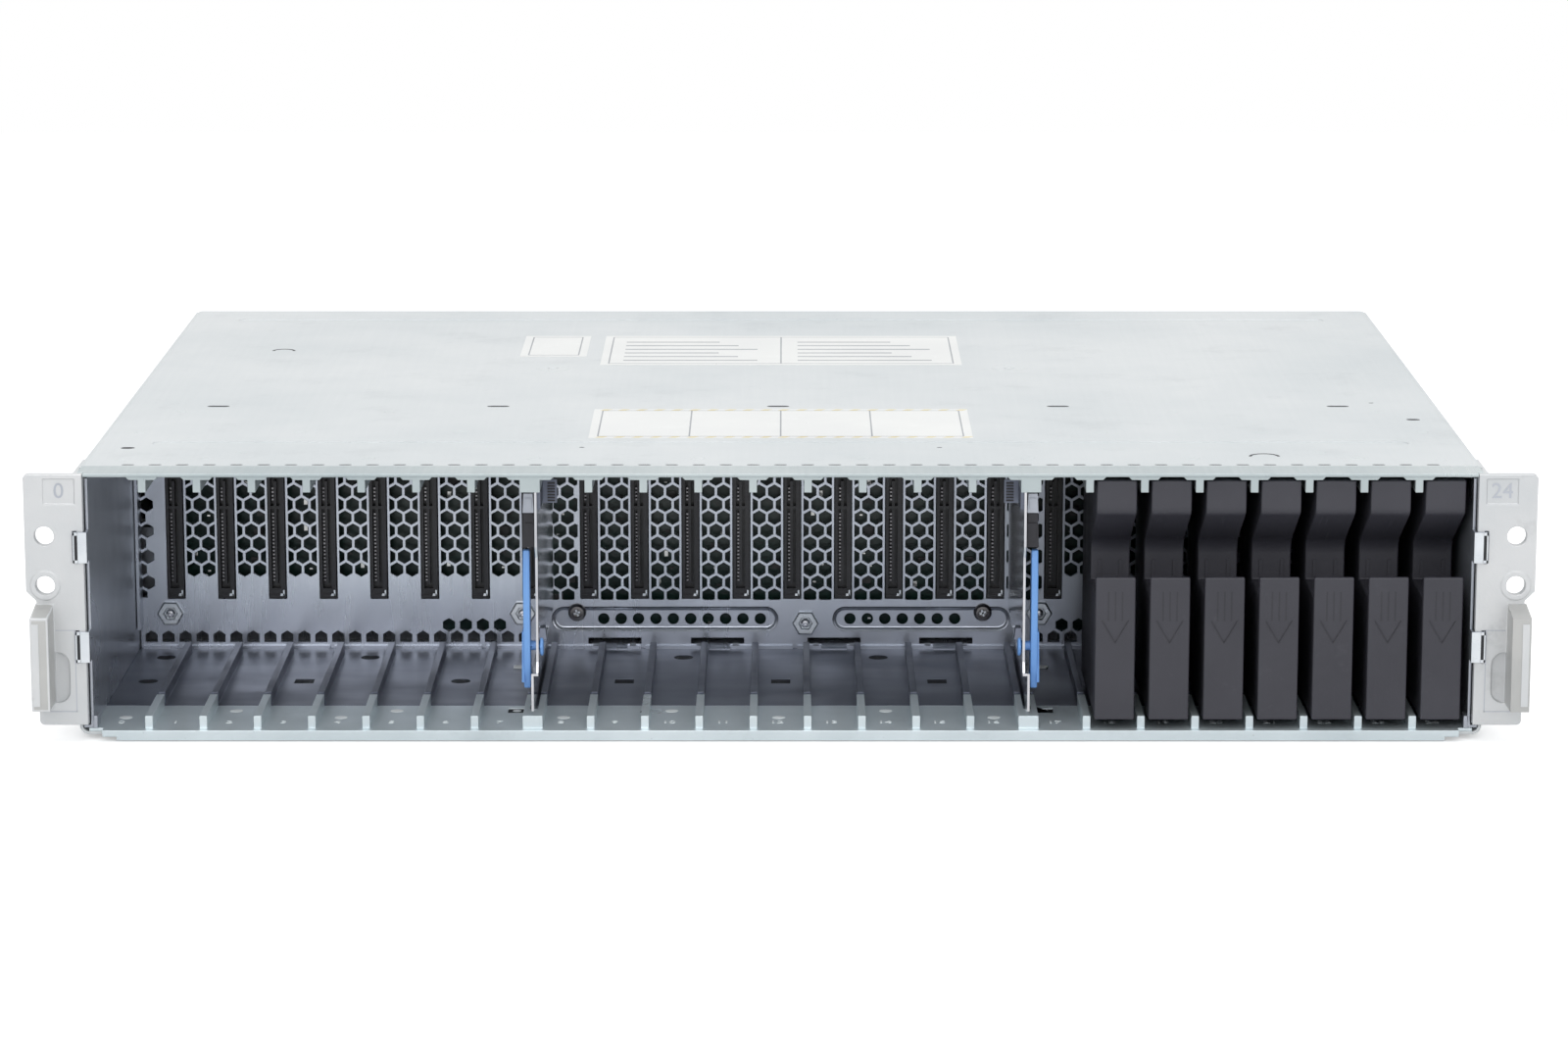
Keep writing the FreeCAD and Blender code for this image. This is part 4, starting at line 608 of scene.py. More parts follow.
def makeCover():
    look = coverLook
    head = coverTop / mm
    cuts = []
    for step in range(-2, 3):
        x = step * look["slitPitch"] + look["slitShift"]
        cuts.append(pegAt(x, look["slitPlace"], head - 3, head + 1, look["slitLength"], look["slitWidth"]))
    for places, size in (("sideHoles", "sideHoleSize"), ("smallHoles", "smallHoleSize")):
        for x, y in look[places]:
            cuts.append(pegAt(x, y, head - 3, head + 1, *look[size]))
    # seam marks, two to a slot
    seamPitch = slotPitch / mm / 2
    count = int(bayHalf / mm * 2 / seamPitch) - 1
    for step in range(count):
        x = (step - (count - 1) / 2) * seamPitch
        cuts.append(pegAt(x, look["seamPlace"], head - look["seamDepth"], head + 1, look["seamLength"],
                          look["seamWidth"]))
    # painted shade in the slits, holes and seam marks
    shades = bmesh.new()
    addShades(shades, cuts, coverTop, look["shadeGrow"], look["shadeFoot"], look["shadeHead"])
    addPiece("coverShades", shades, "dark", "galvanised")
    softCopy("top_cover", "coverSheet", "shell", "galvanised", look["edgeRound"], 1, cutterPegs(cuts, 12))

    bm = bmesh.new()
    for row, place in enumerate(look["spotRows"]):
        for step in range(-4, 5):
            x = (step + 0.5 * (1 - row)) * look["spotPitch"]
            if abs(x) < look["spotReach"] and not (row and abs(x) < look["spotClear"]):
                addSpot(bm, x, place, look["spotRadius"])
    rivet = ((1.9, -0.1), (1.9, 0.15), (1.4, 0.38), (0.6, 0.45), (0, 0.45))
    for side in (-1, 1):
        for x, place in look["cornerSpots"]:
            addSpot(bm, side * x, place, look["spotRadius"] * 0.8)
        addSpot(bm, side * look["padReach"], look["padPlace"], look["padRadius"])
        addTurned(bm, rivet, 14, Matrix.Translation(at(side * look["padReach"], look["padPlace"], head)))
    addPiece("coverSpots", bm, "shell", "galvanised", angle=60)

    # painted shade: dark half rings for the gaps round the lanced tabs
    bm = bmesh.new()
    for x, place, radius in look["arcs"]:
        addArc(bm, x, place, radius, look["arcWidth"])
    addPiece("coverArcs", bm, "dark", "galvanised")


def addShades(bm, cuts, level, grow, foot, head):
    # painted shade: thin dark plates that close each hole a little below the surface, standing for the shade inside it
    for low, high in cuts:
        addBlock(bm, (low.x - grow * mm, low.y - grow * mm, level - foot * mm),
                 (high.x + grow * mm, high.y + grow * mm, level - head * mm))


def addSpot(bm, x, y, radius):
    # a shallow pressed ring on the cover
    outline = ((radius, -0.1), (radius, 0.02), (radius - 0.35, 0.14), (radius - 0.7, 0.14), (radius - 1.1, 0.03),
               (0, 0.02))
    addTurned(bm, outline, 20, Matrix.Translation(at(x, y, coverTop / mm)))


def addArc(bm, x, y, radius, width):
    # half a ring of painted shade, a dark band for the gap round a lanced tab
    rows = []
    for step in range(13):
        angle = math.pi * step / 12
        row = []
        for r, z in ((radius, 0.0), (radius - width, 0.0), (radius - width, 0.05), (radius, 0.05)):
            row.append(bm.verts.new(at(x + r * math.cos(angle), y + r * math.sin(angle), coverTop / mm + z)))
        rows.append(row)
    for first, second in zip(rows, rows[1:]):
        bridge(bm, first, second)
    bm.faces.new(rows[0])
    bm.faces.new(reversed(rows[-1]))


labelLook = {
    "lift": 0.12, "frame": 3.0, "line": 0.3, "cellLine": 0.25, "ink": 0.02,
    "plans": (((-64.5, 206.0), (64.5, 270.0), 2), ((-94.0, 224.0), (-70.0, 270.0), 1),
              ((-63.0, 62.0), (63.0, 116.0), 4)),
    "ruledRows": 6, "ruledPitch": 8, "ruledLength": 48, "ruledHeight": 1.6,
    "stripes": 21, "stripePitch": 6.0, "stripeWidth": 2.6, "stripeSlant": 1.6,
}


def makeLabels():
    # bare labels: a film with a thin frame, cells, and plain bars or stripes
    look = labelLook
    head = coverTop / mm
    top = head + look["lift"]
    film, lines, bands = (bmesh.new() for _ in range(3))

    def ink(bm, xa, ya, xb, yb):
        return addBlock(bm, at(xa, ya, top - look["ink"]), at(xb, yb, top + look["ink"]))

    for number, ((x0, y0), (x1, y1), cells) in enumerate(look["plans"]):
        addBlock(film, at(x0, y0, head - 0.05), at(x1, y1, top))
        inner, half, thin = look["frame"], look["line"], look["cellLine"]
        for y in (y0 + inner, y1 - inner):
            ink(lines, x0 + inner, y - half, x1 - inner, y + half)
        for step in range(cells + 1):
            x = x0 + inner + (x1 - x0 - 2 * inner) * step / cells
            ink(lines, x - thin, y0 + inner, x + thin, y1 - inner)
        if number == 0:
            for row in range(look["ruledRows"]):
                y = y0 + 9 + row * look["ruledPitch"]
                length = look["ruledLength"] - 7 * (row % 3)
                for start in (x0 + 8, 6):
                    ink(lines, start, y, start + length, y + look["ruledHeight"])
        if number == 2:
            # slanted stripes along the two long edges
            for edge in (y0 + 0.6, y1 - 2.6):
                for step in range(look["stripes"]):
                    x = x0 + 2 + step * look["stripePitch"]
                    for vert in ink(bands, x, edge, x + look["stripeWidth"], edge + 2.0):
                        if vert.co.y > at(0, edge + 1, 0).y:
                            vert.co.x += look["stripeSlant"] * mm
    addPiece("labelFilms", film, "label", "galvanised")
    addPiece("labelLines", lines, "print", "galvanised")
    addPiece("labelBands", bands, "band", "galvanised")


makeCover()
makeLabels()
print("cover made")


# floors: stamped slot numbers, low domes, lanced windows and holes

floorLook = {
    "stampPlace": 11.2, "stampSize": 4.6, "stampShift": -1.2, "stampDepth": 0.2,
    "domeRadius": 2.1, "domeShift": -0.6, "frontDomes": 17.5, "rearDomes": 26.5,
    "rearDomeSlots": (2, 5, 10, 14, 19, 22),
    "holeSize": 6.4, "holeRows": (68.5, 103.5), "rearHoleSlots": (2, 8, 12), "rearHoleShift": 1.6,
    "windowReach": 85.3, "windowPlace": 27.0, "windowSize": (5.6, 5.8), "edgeRound": 0.2,
    "shadeGrow": 0.3, "shadeHead": 0.2, "shadeFoot": 0.35, "frameReach": 87.5, "framePlace": 88,
}


def makeFloors():
    look = floorLook
    top = floorTop / mm
    size = look["holeSize"]
    windows = [pegAt(side * look["windowReach"], look["windowPlace"], top - 3, top + 1,
                     *look["windowSize"]) for side in (-1, 1)]
    softCopy("front_floor", "frontStrip", "frontStrip", "guide_steel", look["edgeRound"], 2, cutterPegs(windows))
    holes = [pegAt(slotX(i) / mm, look["holeRows"][0], top - 3, top + 1, size, size) for i in range(0, slotCount, 3)]
    middle = (slotCount - 1) // 2
    for reach in look["rearHoleSlots"]:
        for side in (-1, 1):
            x = slotX(middle + side * reach) / mm - side * look["rearHoleShift"]
            holes.append(pegAt(x, look["holeRows"][1], top - 3, top + 1, size, size))
    softCopy("main_floor", "mainFloor", "floor", "guide_steel", look["edgeRound"], 2, cutterPegs(holes, 20))

    # the stamped numbers in flat white, a painted highlight
    marks = bmesh.new()
    for index in range(slotCount):
        word = wordMesh(str(index), look["stampSize"] * mm, look["stampDepth"] * mm)
        addMesh(marks, word, Matrix.Translation(at(slotX(index) / mm + look["stampShift"], look["stampPlace"], top)))
    addPiece("slotStamps", marks, "paintedGlint", "guide_steel")
    # painted shade: dark plates just under the floor in the holes and windows
    shades = bmesh.new()
    addShades(shades, holes + windows, floorTop, look["shadeGrow"], look["shadeFoot"], look["shadeHead"])
    addPiece("floorShades", shades, "dark", "guide_steel")

    # the domes, lanced tabs and frame in flat white, a painted highlight
    domes = bmesh.new()
    radius = look["domeRadius"]
    outline = ((radius, -0.1), (radius, 0.04), (radius * 0.85, 0.12), (radius * 0.45, 0.16), (0, 0.18))
    places = [(index, look["frontDomes"]) for index in range(0, slotCount, 4)]
    places += [(index, look["rearDomes"]) for index in look["rearDomeSlots"]]
    for index, y in places:
        addTurned(domes, outline, 18, Matrix.Translation(at(slotX(index) / mm + look["domeShift"], y, top)))
    tab = ((1.9, -0.3), (1.9, 0.3), (1.2, 0.7), (0, 0.75))
    for side in (-1, 1):
        # the lanced tab in each window, and a small frame on the main floor, both white as painted highlight
        addTurned(domes, tab, 14,
                  Matrix.Translation(at(side * look["windowReach"], look["windowPlace"] + 0.4, top - 0.8)))
        x, y = side * look["frameReach"], look["framePlace"]
        for a, b in (((-2.2, -1.4), (2.2, -0.8)), ((-2.2, 0.8), (2.2, 1.4)), ((1.6, -1.4), (2.2, 1.4))):
            addBlock(domes, at(x + a[0], y + a[1], top), at(x + b[0], y + b[1], top + 0.5))
    addPiece("floorDomes", domes, "paintedGlint", "guide_steel", angle=40)


makeFloors()
print("floors made")
for side in ("left", "right"):
    softCopy("side_liner_" + side, "liner_" + side, "liner", "guide_steel", 0.2)
    softCopy("ear_" + side, "ear_face_" + side, "ear", "cast_grey", 0.3)


# ears: slot numbers, engraved outlines, hook plates and the pull bars' skins

earLook = {
    "numberSize": 7.0, "numberHeight": 80.7, "numberX": 227.6, "numberDepth": 0.25,
    "lineWidth": 0.3, "outlineInner": 223.5, "outlineFoot": 9.4, "outlineHead": 35.8, "outlineReach": (229.8, 234.2),
    "hookTop": 67.8, "hookPitch": 32.2, "hookSpan": (219.0, 223.3), "hookFold": 221.9, "hookSlot": 223.0,
    "barSpan": (230.25, 236.15), "barDepth": (-12.05, 0.2), "barFoot": 12.2, "barHeads": (42.4, 44.5), "barRound": 0.9,
    "stripSpan": (233.4, 235.6), "stripHeights": (14.0, 40.6),
}


def makeEarDetails():
    look = earLook
    numbers, lines, plates, slots, bars, strips = (bmesh.new() for _ in range(6))
    facing = Matrix.Rotation(math.radians(90), 4, "X")
    wide, inner, foot = look["lineWidth"], look["outlineInner"], look["outlineFoot"]
    plateInner, plateOuter = look["hookSpan"]
    fold = look["hookFold"]
    barFront, barBack = look["barDepth"]
    for side, number in ((-1, 0), (1, slotCount - 1)):
        word = wordMesh(str(number), look["numberSize"] * mm, look["numberDepth"] * mm)
        addMesh(numbers, word, Matrix.Translation(at(side * look["numberX"], 0.45, look["numberHeight"])) @ facing)
        # three thin lines round the grip's place
        for x0, x1, z0, z1 in (
                (inner, look["outlineReach"][0], look["outlineHead"], look["outlineHead"] + wide),
                (inner, inner + wide, foot, look["outlineHead"]), (inner, look["outlineReach"][1], foot, foot + wide)):
            sideBlock(lines, side, x0, x1, -0.05, 0.1, z0, z1)
        # each hook: a bright plate, and a narrow frame round a slot at its outer side, the slot a dark plate of painted
        # shade
        for base in (look["hookTop"] - 10, look["hookTop"] - 10 - look["hookPitch"]):
            for x0, x1, z0, z1 in (
                    (plateInner, fold, 0.1, 9.9), (fold - 0.1, plateOuter, 9.0, 9.9),
                    (fold - 0.1, plateOuter, 0.1, 1.0), (plateOuter - 0.4, plateOuter, 0.1, 9.9)):
                sideBlock(plates, side, x0, x1, -1.1, -0.85, base + z0, base + z1)
            sideBlock(slots, side, fold - 0.1, look["hookSlot"], -0.98, -0.85, base + 0.9, base + 9.1)
        # a skin over the pull bar, rounded more and a little higher in front
        for vert in sideBlock(bars, side, *look["barSpan"], barFront, barBack, look["barFoot"], look["barHeads"][0]):
            if vert.co.z > at(0, 0, 40).z and vert.co.y > at(0, -6, 0).y:
                vert.co.z = look["barHeads"][1] * mm
        softened(bars, look["barRound"], 3)
        sideBlock(strips, side, *look["stripSpan"], -12.25, -12.0, *look["stripHeights"])
    softened(strips, 0.1, 2)
    for name, bm, finish, slotName in (
            ("earNumbers", numbers, "faint", "cast_grey"), ("earLines", lines, "faint", "cast_grey"),
            ("hookPlates", plates, "hook", "guide_steel"), ("hookSlots", slots, "dark", "guide_steel")):
        addPiece(name, bm, finish, slotName)
    addPiece("pullBars", bars, "bar", "cast_grey", angle=40)
    addPiece("pullStrips", strips, "ear", "cast_grey", angle=40)


makeEarDetails()
print("shell made")


# midplane shield

shieldLook = {
    "fieldHead": 66.6, "centreFoot": 20.2, "sideFoot": 27.8, "edgeField": 4.9, "edgeFoot": 21.0,
    "hexPitch": 5.2, "hexFlats": 4.15, "topRow": 66.75, "sheet": 1.0, "edge": 0.12, "fold": 8.0,
    "ventPitch": 5.8, "ventFoot": 5.5, "upperVentHeight": 11.4, "upperVentRadius": 2.3, "upperVents": 4,
    "connectorHalf": 3.0, "connectorFoot": 20.6,
    "embossDepth": 0.9, "embossRadius": 4.2, "embossMiddle": 13.5, "roundVent": 1.95, "roundPitch": 5.93,
    "roundSpans": ((-60.5, -7.0), (23.6, 59.4)), "screwClear": 4.6,
    "slotFoot": 4.9, "slotWide": 18.0, "slotMiddles": (-56.7, -21.6, 18.2, 56.4),
    "slotTabs": ((-4.3, 4.3, 2.4), (-7.2, -5.2, 1.0), (5.2, 7.2, 1.0)),
}


def clipped(ring, low, high, foot, head):
    # a convex ring cut to a rectangle, one side after the other
    for axis, limit, sign in ((0, low, 1), (0, high, -1), (1, foot, 1), (1, head, -1)):
        kept = []
        for i, point in enumerate(ring):
            before = ring[i - 1]
            inside = (point[axis] - limit) * sign >= 0
            if inside != ((before[axis] - limit) * sign >= 0):
                share = (limit - before[axis]) / (point[axis] - before[axis])
                kept.append(tuple(before[j] + (point[j] - before[j]) * share for j in (0, 1)))
            if inside:
                kept.append(point)
        ring = kept
    return ring


def ringSpan(ring, axis):
    values = [p[axis] for p in ring]
    return max(values) - min(values)


def honeycombField(low, high, foot, head, shift=0.0):
    rings = []
    pitch = shieldLook["hexPitch"]
    rowPitch = pitch * math.sqrt(3) / 2
    middle = (low + high) / 2 + shift
    radius = shieldLook["hexFlats"] / math.sqrt(3)
    rows = int((head - foot) / rowPitch) + 2
    top = shieldLook["topRow"]
    for row in range(rows):
        z = top - row * rowPitch
        first = pitch / 2 if row % 2 == 0 else 0
        for step in range(-6, 7):
            x = middle + first + step * pitch
            ring = clipped(ringOf(x, z, radius, 6, math.pi / 2), low, high, foot, head)
            if len(ring) > 2 and ringSpan(ring, 0) > 0.9 and ringSpan(ring, 1) > 0.9:
                rings.append(ring)
    return rings


def connectorX(index):
    return slotX(index) / mm + connectorShift / mm - 0.3


def embossSpans():
    left = railX(wideRails[0]) / mm + 0.9
    right = railX(wideRails[1]) / mm - 0.9
    return ((left, -0.9), (17.7, right))


def slotSpans():
    # the slots under the embosses
    wide = shieldLook["slotWide"]
    return [(middle - wide / 2, middle + wide / 2) for middle in shieldLook["slotMiddles"]]


def mirrored(ring, side):
    return [(side * a, b) for a, b in ring][::side]


def scaled(ring):
    # from millimetres to metres
    return [(a * mm, b * mm) for a, b in ring]


def shieldHoles(half):
    look = shieldLook
    wide = look["connectorHalf"]
    middles = [connectorX(index) for index in range(slotCount)]
    holes = [rectangleOf(x - wide, x + wide, look["connectorFoot"], look["fieldHead"] + 0.8) for x in middles]
    # beside the left edge: full hexagons with half ones between
    first = -half + 0.4
    edgeRings = honeycombField(first, first + look["edgeField"], look["edgeFoot"], look["fieldHead"], 0.2)
    holes += [ring for ring in edgeRings if min(p[0] for p in ring) < first + 1.2]
    # the fields between the connectors reach lower between the dividers
    edges = middles + [half - 1.5]
    margin = wide + 0.9
    for index, (a, b) in enumerate(zip(edges, edges[1:]), start=1):
        central = wideRails[0] <= index <= wideRails[1]
        bottom = look["centreFoot"] if central else look["sideFoot"]
        last = b - (margin if index < slotCount else 0)
        if last - a - margin > 3:
            holes += honeycombField(a + margin, last, bottom, look["fieldHead"])
    # pointed vents along the foot, and a few hexagons above them
    leftEnd = -half + 3.6
    rightEnd = railX(wideRails[0]) / mm - 6.5
    count = int((rightEnd - leftEnd) / look["ventPitch"]) + 1
    for side in (1, -1):
        for step in range(count):
            x, z = leftEnd + step * look["ventPitch"], look["ventFoot"]
            holes.append(mirrored([(x - 2, z), (x + 2, z), (x + 2, z + 2.6), (x, z + 3.9), (x - 2, z + 2.6)], side))
        for step in range(look["upperVents"]):
            x = rightEnd - 4.6 - (step + 1) * look["ventPitch"]
            holes.append(mirrored(ringOf(x, look["upperVentHeight"], look["upperVentRadius"], 6, math.pi / 2), side))
    holes += [rectangleOf(low, high, look["slotFoot"], look["slotFoot"] + 2.0) for low, high in slotSpans()]
    holes += [obroundOf(low, high, look["embossMiddle"], look["embossRadius"], 12) for low, high in embossSpans()]
    return holes


def makeShield():
    look = shieldLook
    half = bayHalf / mm - 0.3
    foot, head, fold = floorTop / mm, ceilingUnder / mm, look["fold"]
    sheet = sheetMesh("shieldSheet", scaled(rectangleOf(-half, half, foot, head)),
                      [scaled(ring) for ring in shieldHoles(half)], look["sheet"] * mm, look["edge"] * mm)
    bm = bmesh.new()
    addMesh(bm, sheet, Matrix.Translation((0, shieldY, 0)) @ upright)
    # side edges folded to the front, foot and head to the back
    for side in (-1, 1):
        x0, x1 = sorted((side * half, side * (half - 1)))
        shieldBlock(bm, x0, x1, -fold, 0.2, foot + fold, head - fold)
    for z in (foot, head - 1):
        shieldBlock(bm, fold - half, half - fold, 0.8, fold, z, z + 1)
    for (low, high), (first, last) in zip(embossSpans(), look["roundSpans"]):
        number = int(round((last - first) / look["roundPitch"])) + 1
        rounds = [first + step * (last - first) / (number - 1) for step in range(number)]
        addEmboss(bm, low, high, [x for x in rounds if abs(abs(x) - slotPitch * 4 / mm) > look["screwClear"]])
    for low, high in slotSpans():
        # a tab hangs beneath each slot, between two darker legs
        middle = (low + high) / 2
        for a, b, reach in look["slotTabs"]:
            for vert in shieldBlock(bm, middle + a, middle + b, -reach, 0.1, foot, look["slotFoot"] + 0.2):
                if vert.co.z > floorTop + 0.5 * mm and vert.co.y < shieldY - 0.5 * mm:
                    vert.co.z = floorTop + 0.35 * mm
    # a folded strip along the foot, notched beside every third rail
    stops = [-half + 1.0]
    for index in range(1, slotCount, 3):
        stops += [railX(index) / mm - 4.6, railX(index) / mm - 3.0]
    stops.append(half - 1.0)
    for a, b in zip(stops[::2], stops[1::2]):
        if b - a > 2:
            shieldBlock(bm, a, b, -1.3, 0.1, foot, foot + 1.1)
    addPiece("shieldPlate", bm, "shield", "shield_steel", stands=("midplane_shield",), angle=25)


def addEmboss(bm, low, high, rounds):
    # a long oval pressed back from the plate, with round holes in its floor
    look = shieldLook
    depth = look["embossDepth"]
    z = look["embossMiddle"]
    rings = []
    for inset, height in ((0.1, 0.0), (0.35, 0.1), (0.8, depth * 0.6), (1.1, depth - 0.08), (1.4, depth)):
        ring = obroundOf(low + inset, high - inset, z, look["embossRadius"] - inset, 12)
        rings.append([bm.verts.new((x * mm, shieldY + height * mm, v * mm)) for x, v in ring])
    for first, second in zip(rings, rings[1:]):
        bridge(bm, first, second)
    outer = obroundOf(low + 1.3, high - 1.3, z, look["embossRadius"] - 1.3, 12)
    holes = [ringOf(x, z - 0.1, look["roundVent"], 18) for x in rounds]
    floor = sheetMesh("embossFloor", scaled(outer), [scaled(ring) for ring in holes], 0.8 * mm, 0.06 * mm)
    addMesh(bm, floor, Matrix.Translation((0, shieldY + depth * mm, 0)) @ upright)


makeShield()
print("shield made")


# drive connectors behind the shield, one per slot

connectorLook = {
    "half": 2.75, "foot": 21.0, "head": 66.2, "front": -1.2, "root": 1.7, "depth": 3.4,
    "contactPitch": 1.27, "contactSize": 0.55, "key": (52.0, 53.0), "keyClear": (50.8, 54.2),
}


def makeConnectors():
    look = connectorLook
    half, foot, head, front, root = (look[key] for key in ("half", "foot", "head", "front", "root"))
    shells, pins, clips = (bmesh.new() for _ in range(3))
    for index in range(slotCount):
        x = connectorX(index)
        # back plate, two side walls, and bars at foot, head and key
        shieldBlock(shells, x - half, x + half, 1.6, look["depth"], foot, head)
        shieldBlock(shells, x - half, x - half + 0.9, front, root, foot, head)
        shieldBlock(shells, x + half - 1.5, x + half, front, root, foot, head)
        for z0, z1 in ((foot, foot + 3.4), (head - 3.0, head), look["key"]):
            shieldBlock(shells, x - half + 0.8, x + half - 1.4, front + 0.2, root, z0, z1)
        # the tongue that carries the contacts, and a lip at the foot
        shieldBlock(shells, x - 0.75, x + 0.2, front + 0.3, root, foot + 5, head - 4.6)
        shieldBlock(shells, x - half + 0.3, x + half - 0.3, front - 0.3, front + 0.1, foot + 0.5, foot + 1.4)
        for step in range(int((head - foot - 12) / look["contactPitch"])):
            z = foot + 6 + step * look["contactPitch"]
            if not look["keyClear"][0] < z < look["keyClear"][1]:
                shieldBlock(pins, x - 1.35, x - 0.7, front + 0.5, root, z, z + look["contactSize"])
        shieldBlock(clips, x + 0.9, x + 2.4, front - 0.4, front + 0.1, foot + 0.9, foot + 1.7, 0.2)
        shieldBlock(clips, x + 1.9, x + 2.4, front - 0.4, front + 0.1, foot + 0.9, foot + 2.9)
    softened(shells, 0.12, 1)
    addPiece("connectorShells", shells, "connector", "connector_black", stands=("drive_connectors",))
    addPiece("connectorContacts", pins, "contact", "connector_black")
    addPiece("connectorClips", clips, "hook", "bright_steel")


makeConnectors()


# the board behind, seen through the honeycomb

midplaneLook = {
    "rows": 9, "rowFoot": 12, "rowPitch": 6, "emptyShare": 0.35,
    "partSizes": ((1.0, 0.5, 0.4), (1.6, 0.8, 0.5), (3.0, 3.0, 0.9), (1.2, 2.0, 0.6)),
}


def makeBoard():
    look = midplaneLook
    bm = nodeMesh("midplane_board")
    softened(bm, 0.2)
    addPiece("midplaneBoard", bm, "midplane", "board_green", stands=("midplane_board",))
    chips, caps = bmesh.new(), bmesh.new()
    for index in range(slotCount - 1):
        middle = (connectorX(index) + connectorX(index + 1)) / 2
        for step in range(look["rows"]):
            if dice.random() < look["emptyShare"]:
                continue
            x = middle + dice.uniform(-3.2, 2.2)
            z = look["rowFoot"] + step * look["rowPitch"] + dice.uniform(-1.5, 1.5)
            wide, tall, deep = dice.choice(look["partSizes"])
            addBlock(caps if wide < 1.5 else chips, (x * mm, boardFront - deep * mm, z * mm),
                     ((x + wide) * mm, boardFront + 0.2 * mm, (z + tall) * mm))
    addPiece("boardChips", chips, "chip", "board_green")
    addPiece("boardCaps", caps, "port", "board_green")


makeBoard()
print("connectors and board made")


# fasteners on the shield and the ears

def towardsFront(x, y, z):
    # stands a turned piece on a face that looks to -Y
    return Matrix.Translation((x, y, z)) @ Matrix.Rotation(math.radians(90), 4, "X")


# outlines of the turned pieces are (radius, height) pairs
fastenerLook = {
    "nutHeight": 15.6, "middleNut": (8.4, 12.2), "screwHeight": 15.9, "screwShift": -0.3, "crossTurn": 20,
    "nut": ((4.5, 0), (4.5, 1.2), (4.0, 1.6), (2.5, 1.6), (2.2, 1.2), (2.1, 0.4), (0, 0.4)),
    "stud": ((1.6, -3.3), (1.6, 0.9), (1.45, 1.3), (1.0, 1.7), (0.45, 1.75), (0.4, 1.3), (0, 1.3)),
    "head": ((3.1, 0), (3.1, 0.6), (2.9, 1.5), (2.3, 2.2), (1.5, 2.3), (1.3, 1.2), (0, 1.1)),
    "shank": ((1.9, -3.3), (1.9, 0.2)),
    "earScrew": ((2.5, -0.2), (2.5, 0.9), (2.0, 1.5), (1.1, 1.6), (0.9, 0.7), (0, 0.6)), "earShares": (0.2, 0.8),
}


def makeFasteners():
    look = fastenerLook
    nuts, studs, heads, crosses, earScrews = (bmesh.new() for _ in range(5))
    reaches = (bayHalf / mm - 10.7, -railX(wideRails[0]) / mm + 9.0)
    for x, z in [(side * x, look["nutHeight"]) for side in (-1, 1) for x in reaches] + [look["middleNut"]]:
        place = towardsFront(x * mm, shieldY, z * mm)
        addTurned(nuts, look["nut"], 6, place)
        addTurned(studs, look["stud"], 16, place)
    addPiece("captiveNuts", nuts, "hook", "bright_steel", stands=("shield_nuts",))
    addPiece("nutStuds", studs, "bright", "bright_steel")
    for side in (-1, 1):
        place = towardsFront(side * slotPitch * 4 + look["screwShift"] * mm, shieldY, look["screwHeight"] * mm)
        addTurned(heads, look["head"], 24, place)
        addTurned(heads, look["shank"], 12, place)
        for turn in (0, 90):
            added = addBlock(crosses, (-1.15 * mm, -0.3 * mm, 1.0 * mm), (1.15 * mm, 0.3 * mm, 1.7 * mm))
            placed(crosses, added, place @ Matrix.Rotation(math.radians(turn + look["crossTurn"]), 4, "Z"))
    addPiece("boardScrews", heads, "screw", "screw_steel", stands=("board_screws",))
    addPiece("screwCrosses", crosses, "hook", "screw_steel")
    low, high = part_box("ear_screws")
    for side in (-1, 1):
        for share in look["earShares"]:
            middle = Matrix.Translation((side * (high.x - 1.6 * mm), (low.y + high.y) / 2, cadHigh.z * share))
            addTurned(earScrews, look["earScrew"], 20, middle @ Matrix.Rotation(math.radians(90 * side), 4, "Y"))
    addPiece("earScrews", earScrews, "screw", "screw_steel", stands=("ear_screws",))


makeFasteners()


# dividers and their blue latches

for side in ("left", "right"):
    softCopy("divider_" + side, "dividerSheet_" + side, "bright", "bright_steel", 0.12, 1)
    softCopy("divider_latch_" + side, "latch_" + side, "blue", "latch_blue", 0.5, 3)


# divider trimmings beside each sheet: plastic stop, clamp block, folded tabs, latch rib

# each block: x0, x1 from the middle, y0, y1 behind the ears, z0, z1, and a slope where there is one
dividerLook = {
    "stops": ((78.2, 82.1, 9.5, 20, 60.9, 71.8, 0.4), (78.4, 81.2, 9.0, 9.8, 62.9, 68.8)),
    "clamps": ((78.3, 81.8, 8.6, 16, 72.2, 78.4, 0.3), (78.9, 81.2, 8.2, 8.8, 73.6, 77.0)),
    "tabs": ((71.6, 77.4, 24, 25, 72.4, 80.0), (76.1, 77.2, 8, 25, 73.4, 79.0), (74.6, 77.3, 10, 15, 30.8, 34.4, 0.5)),
    "ribs": ((79.75, 80.5, 9.4, 14, 17.5, 57.5, 0.1), (81.7, 82.6, 8.6, 14.4, 17.0, 33.5, 0.2)),
    "teeth": 7, "toothFoot": 73.0, "toothReach": 6.6, "partRound": 0.18, "ribRound": 0.2,
}


def addBlocks(name, sides, blocks, edgeRound, *looks):
    # one piece of rounded blocks, on each of the sides
    bm = bmesh.new()
    for side in sides:
        for block in blocks:
            sideBlock(bm, side, *block)
    softened(bm, edgeRound, 2)
    addPiece(name, bm, *looks, angle=40)


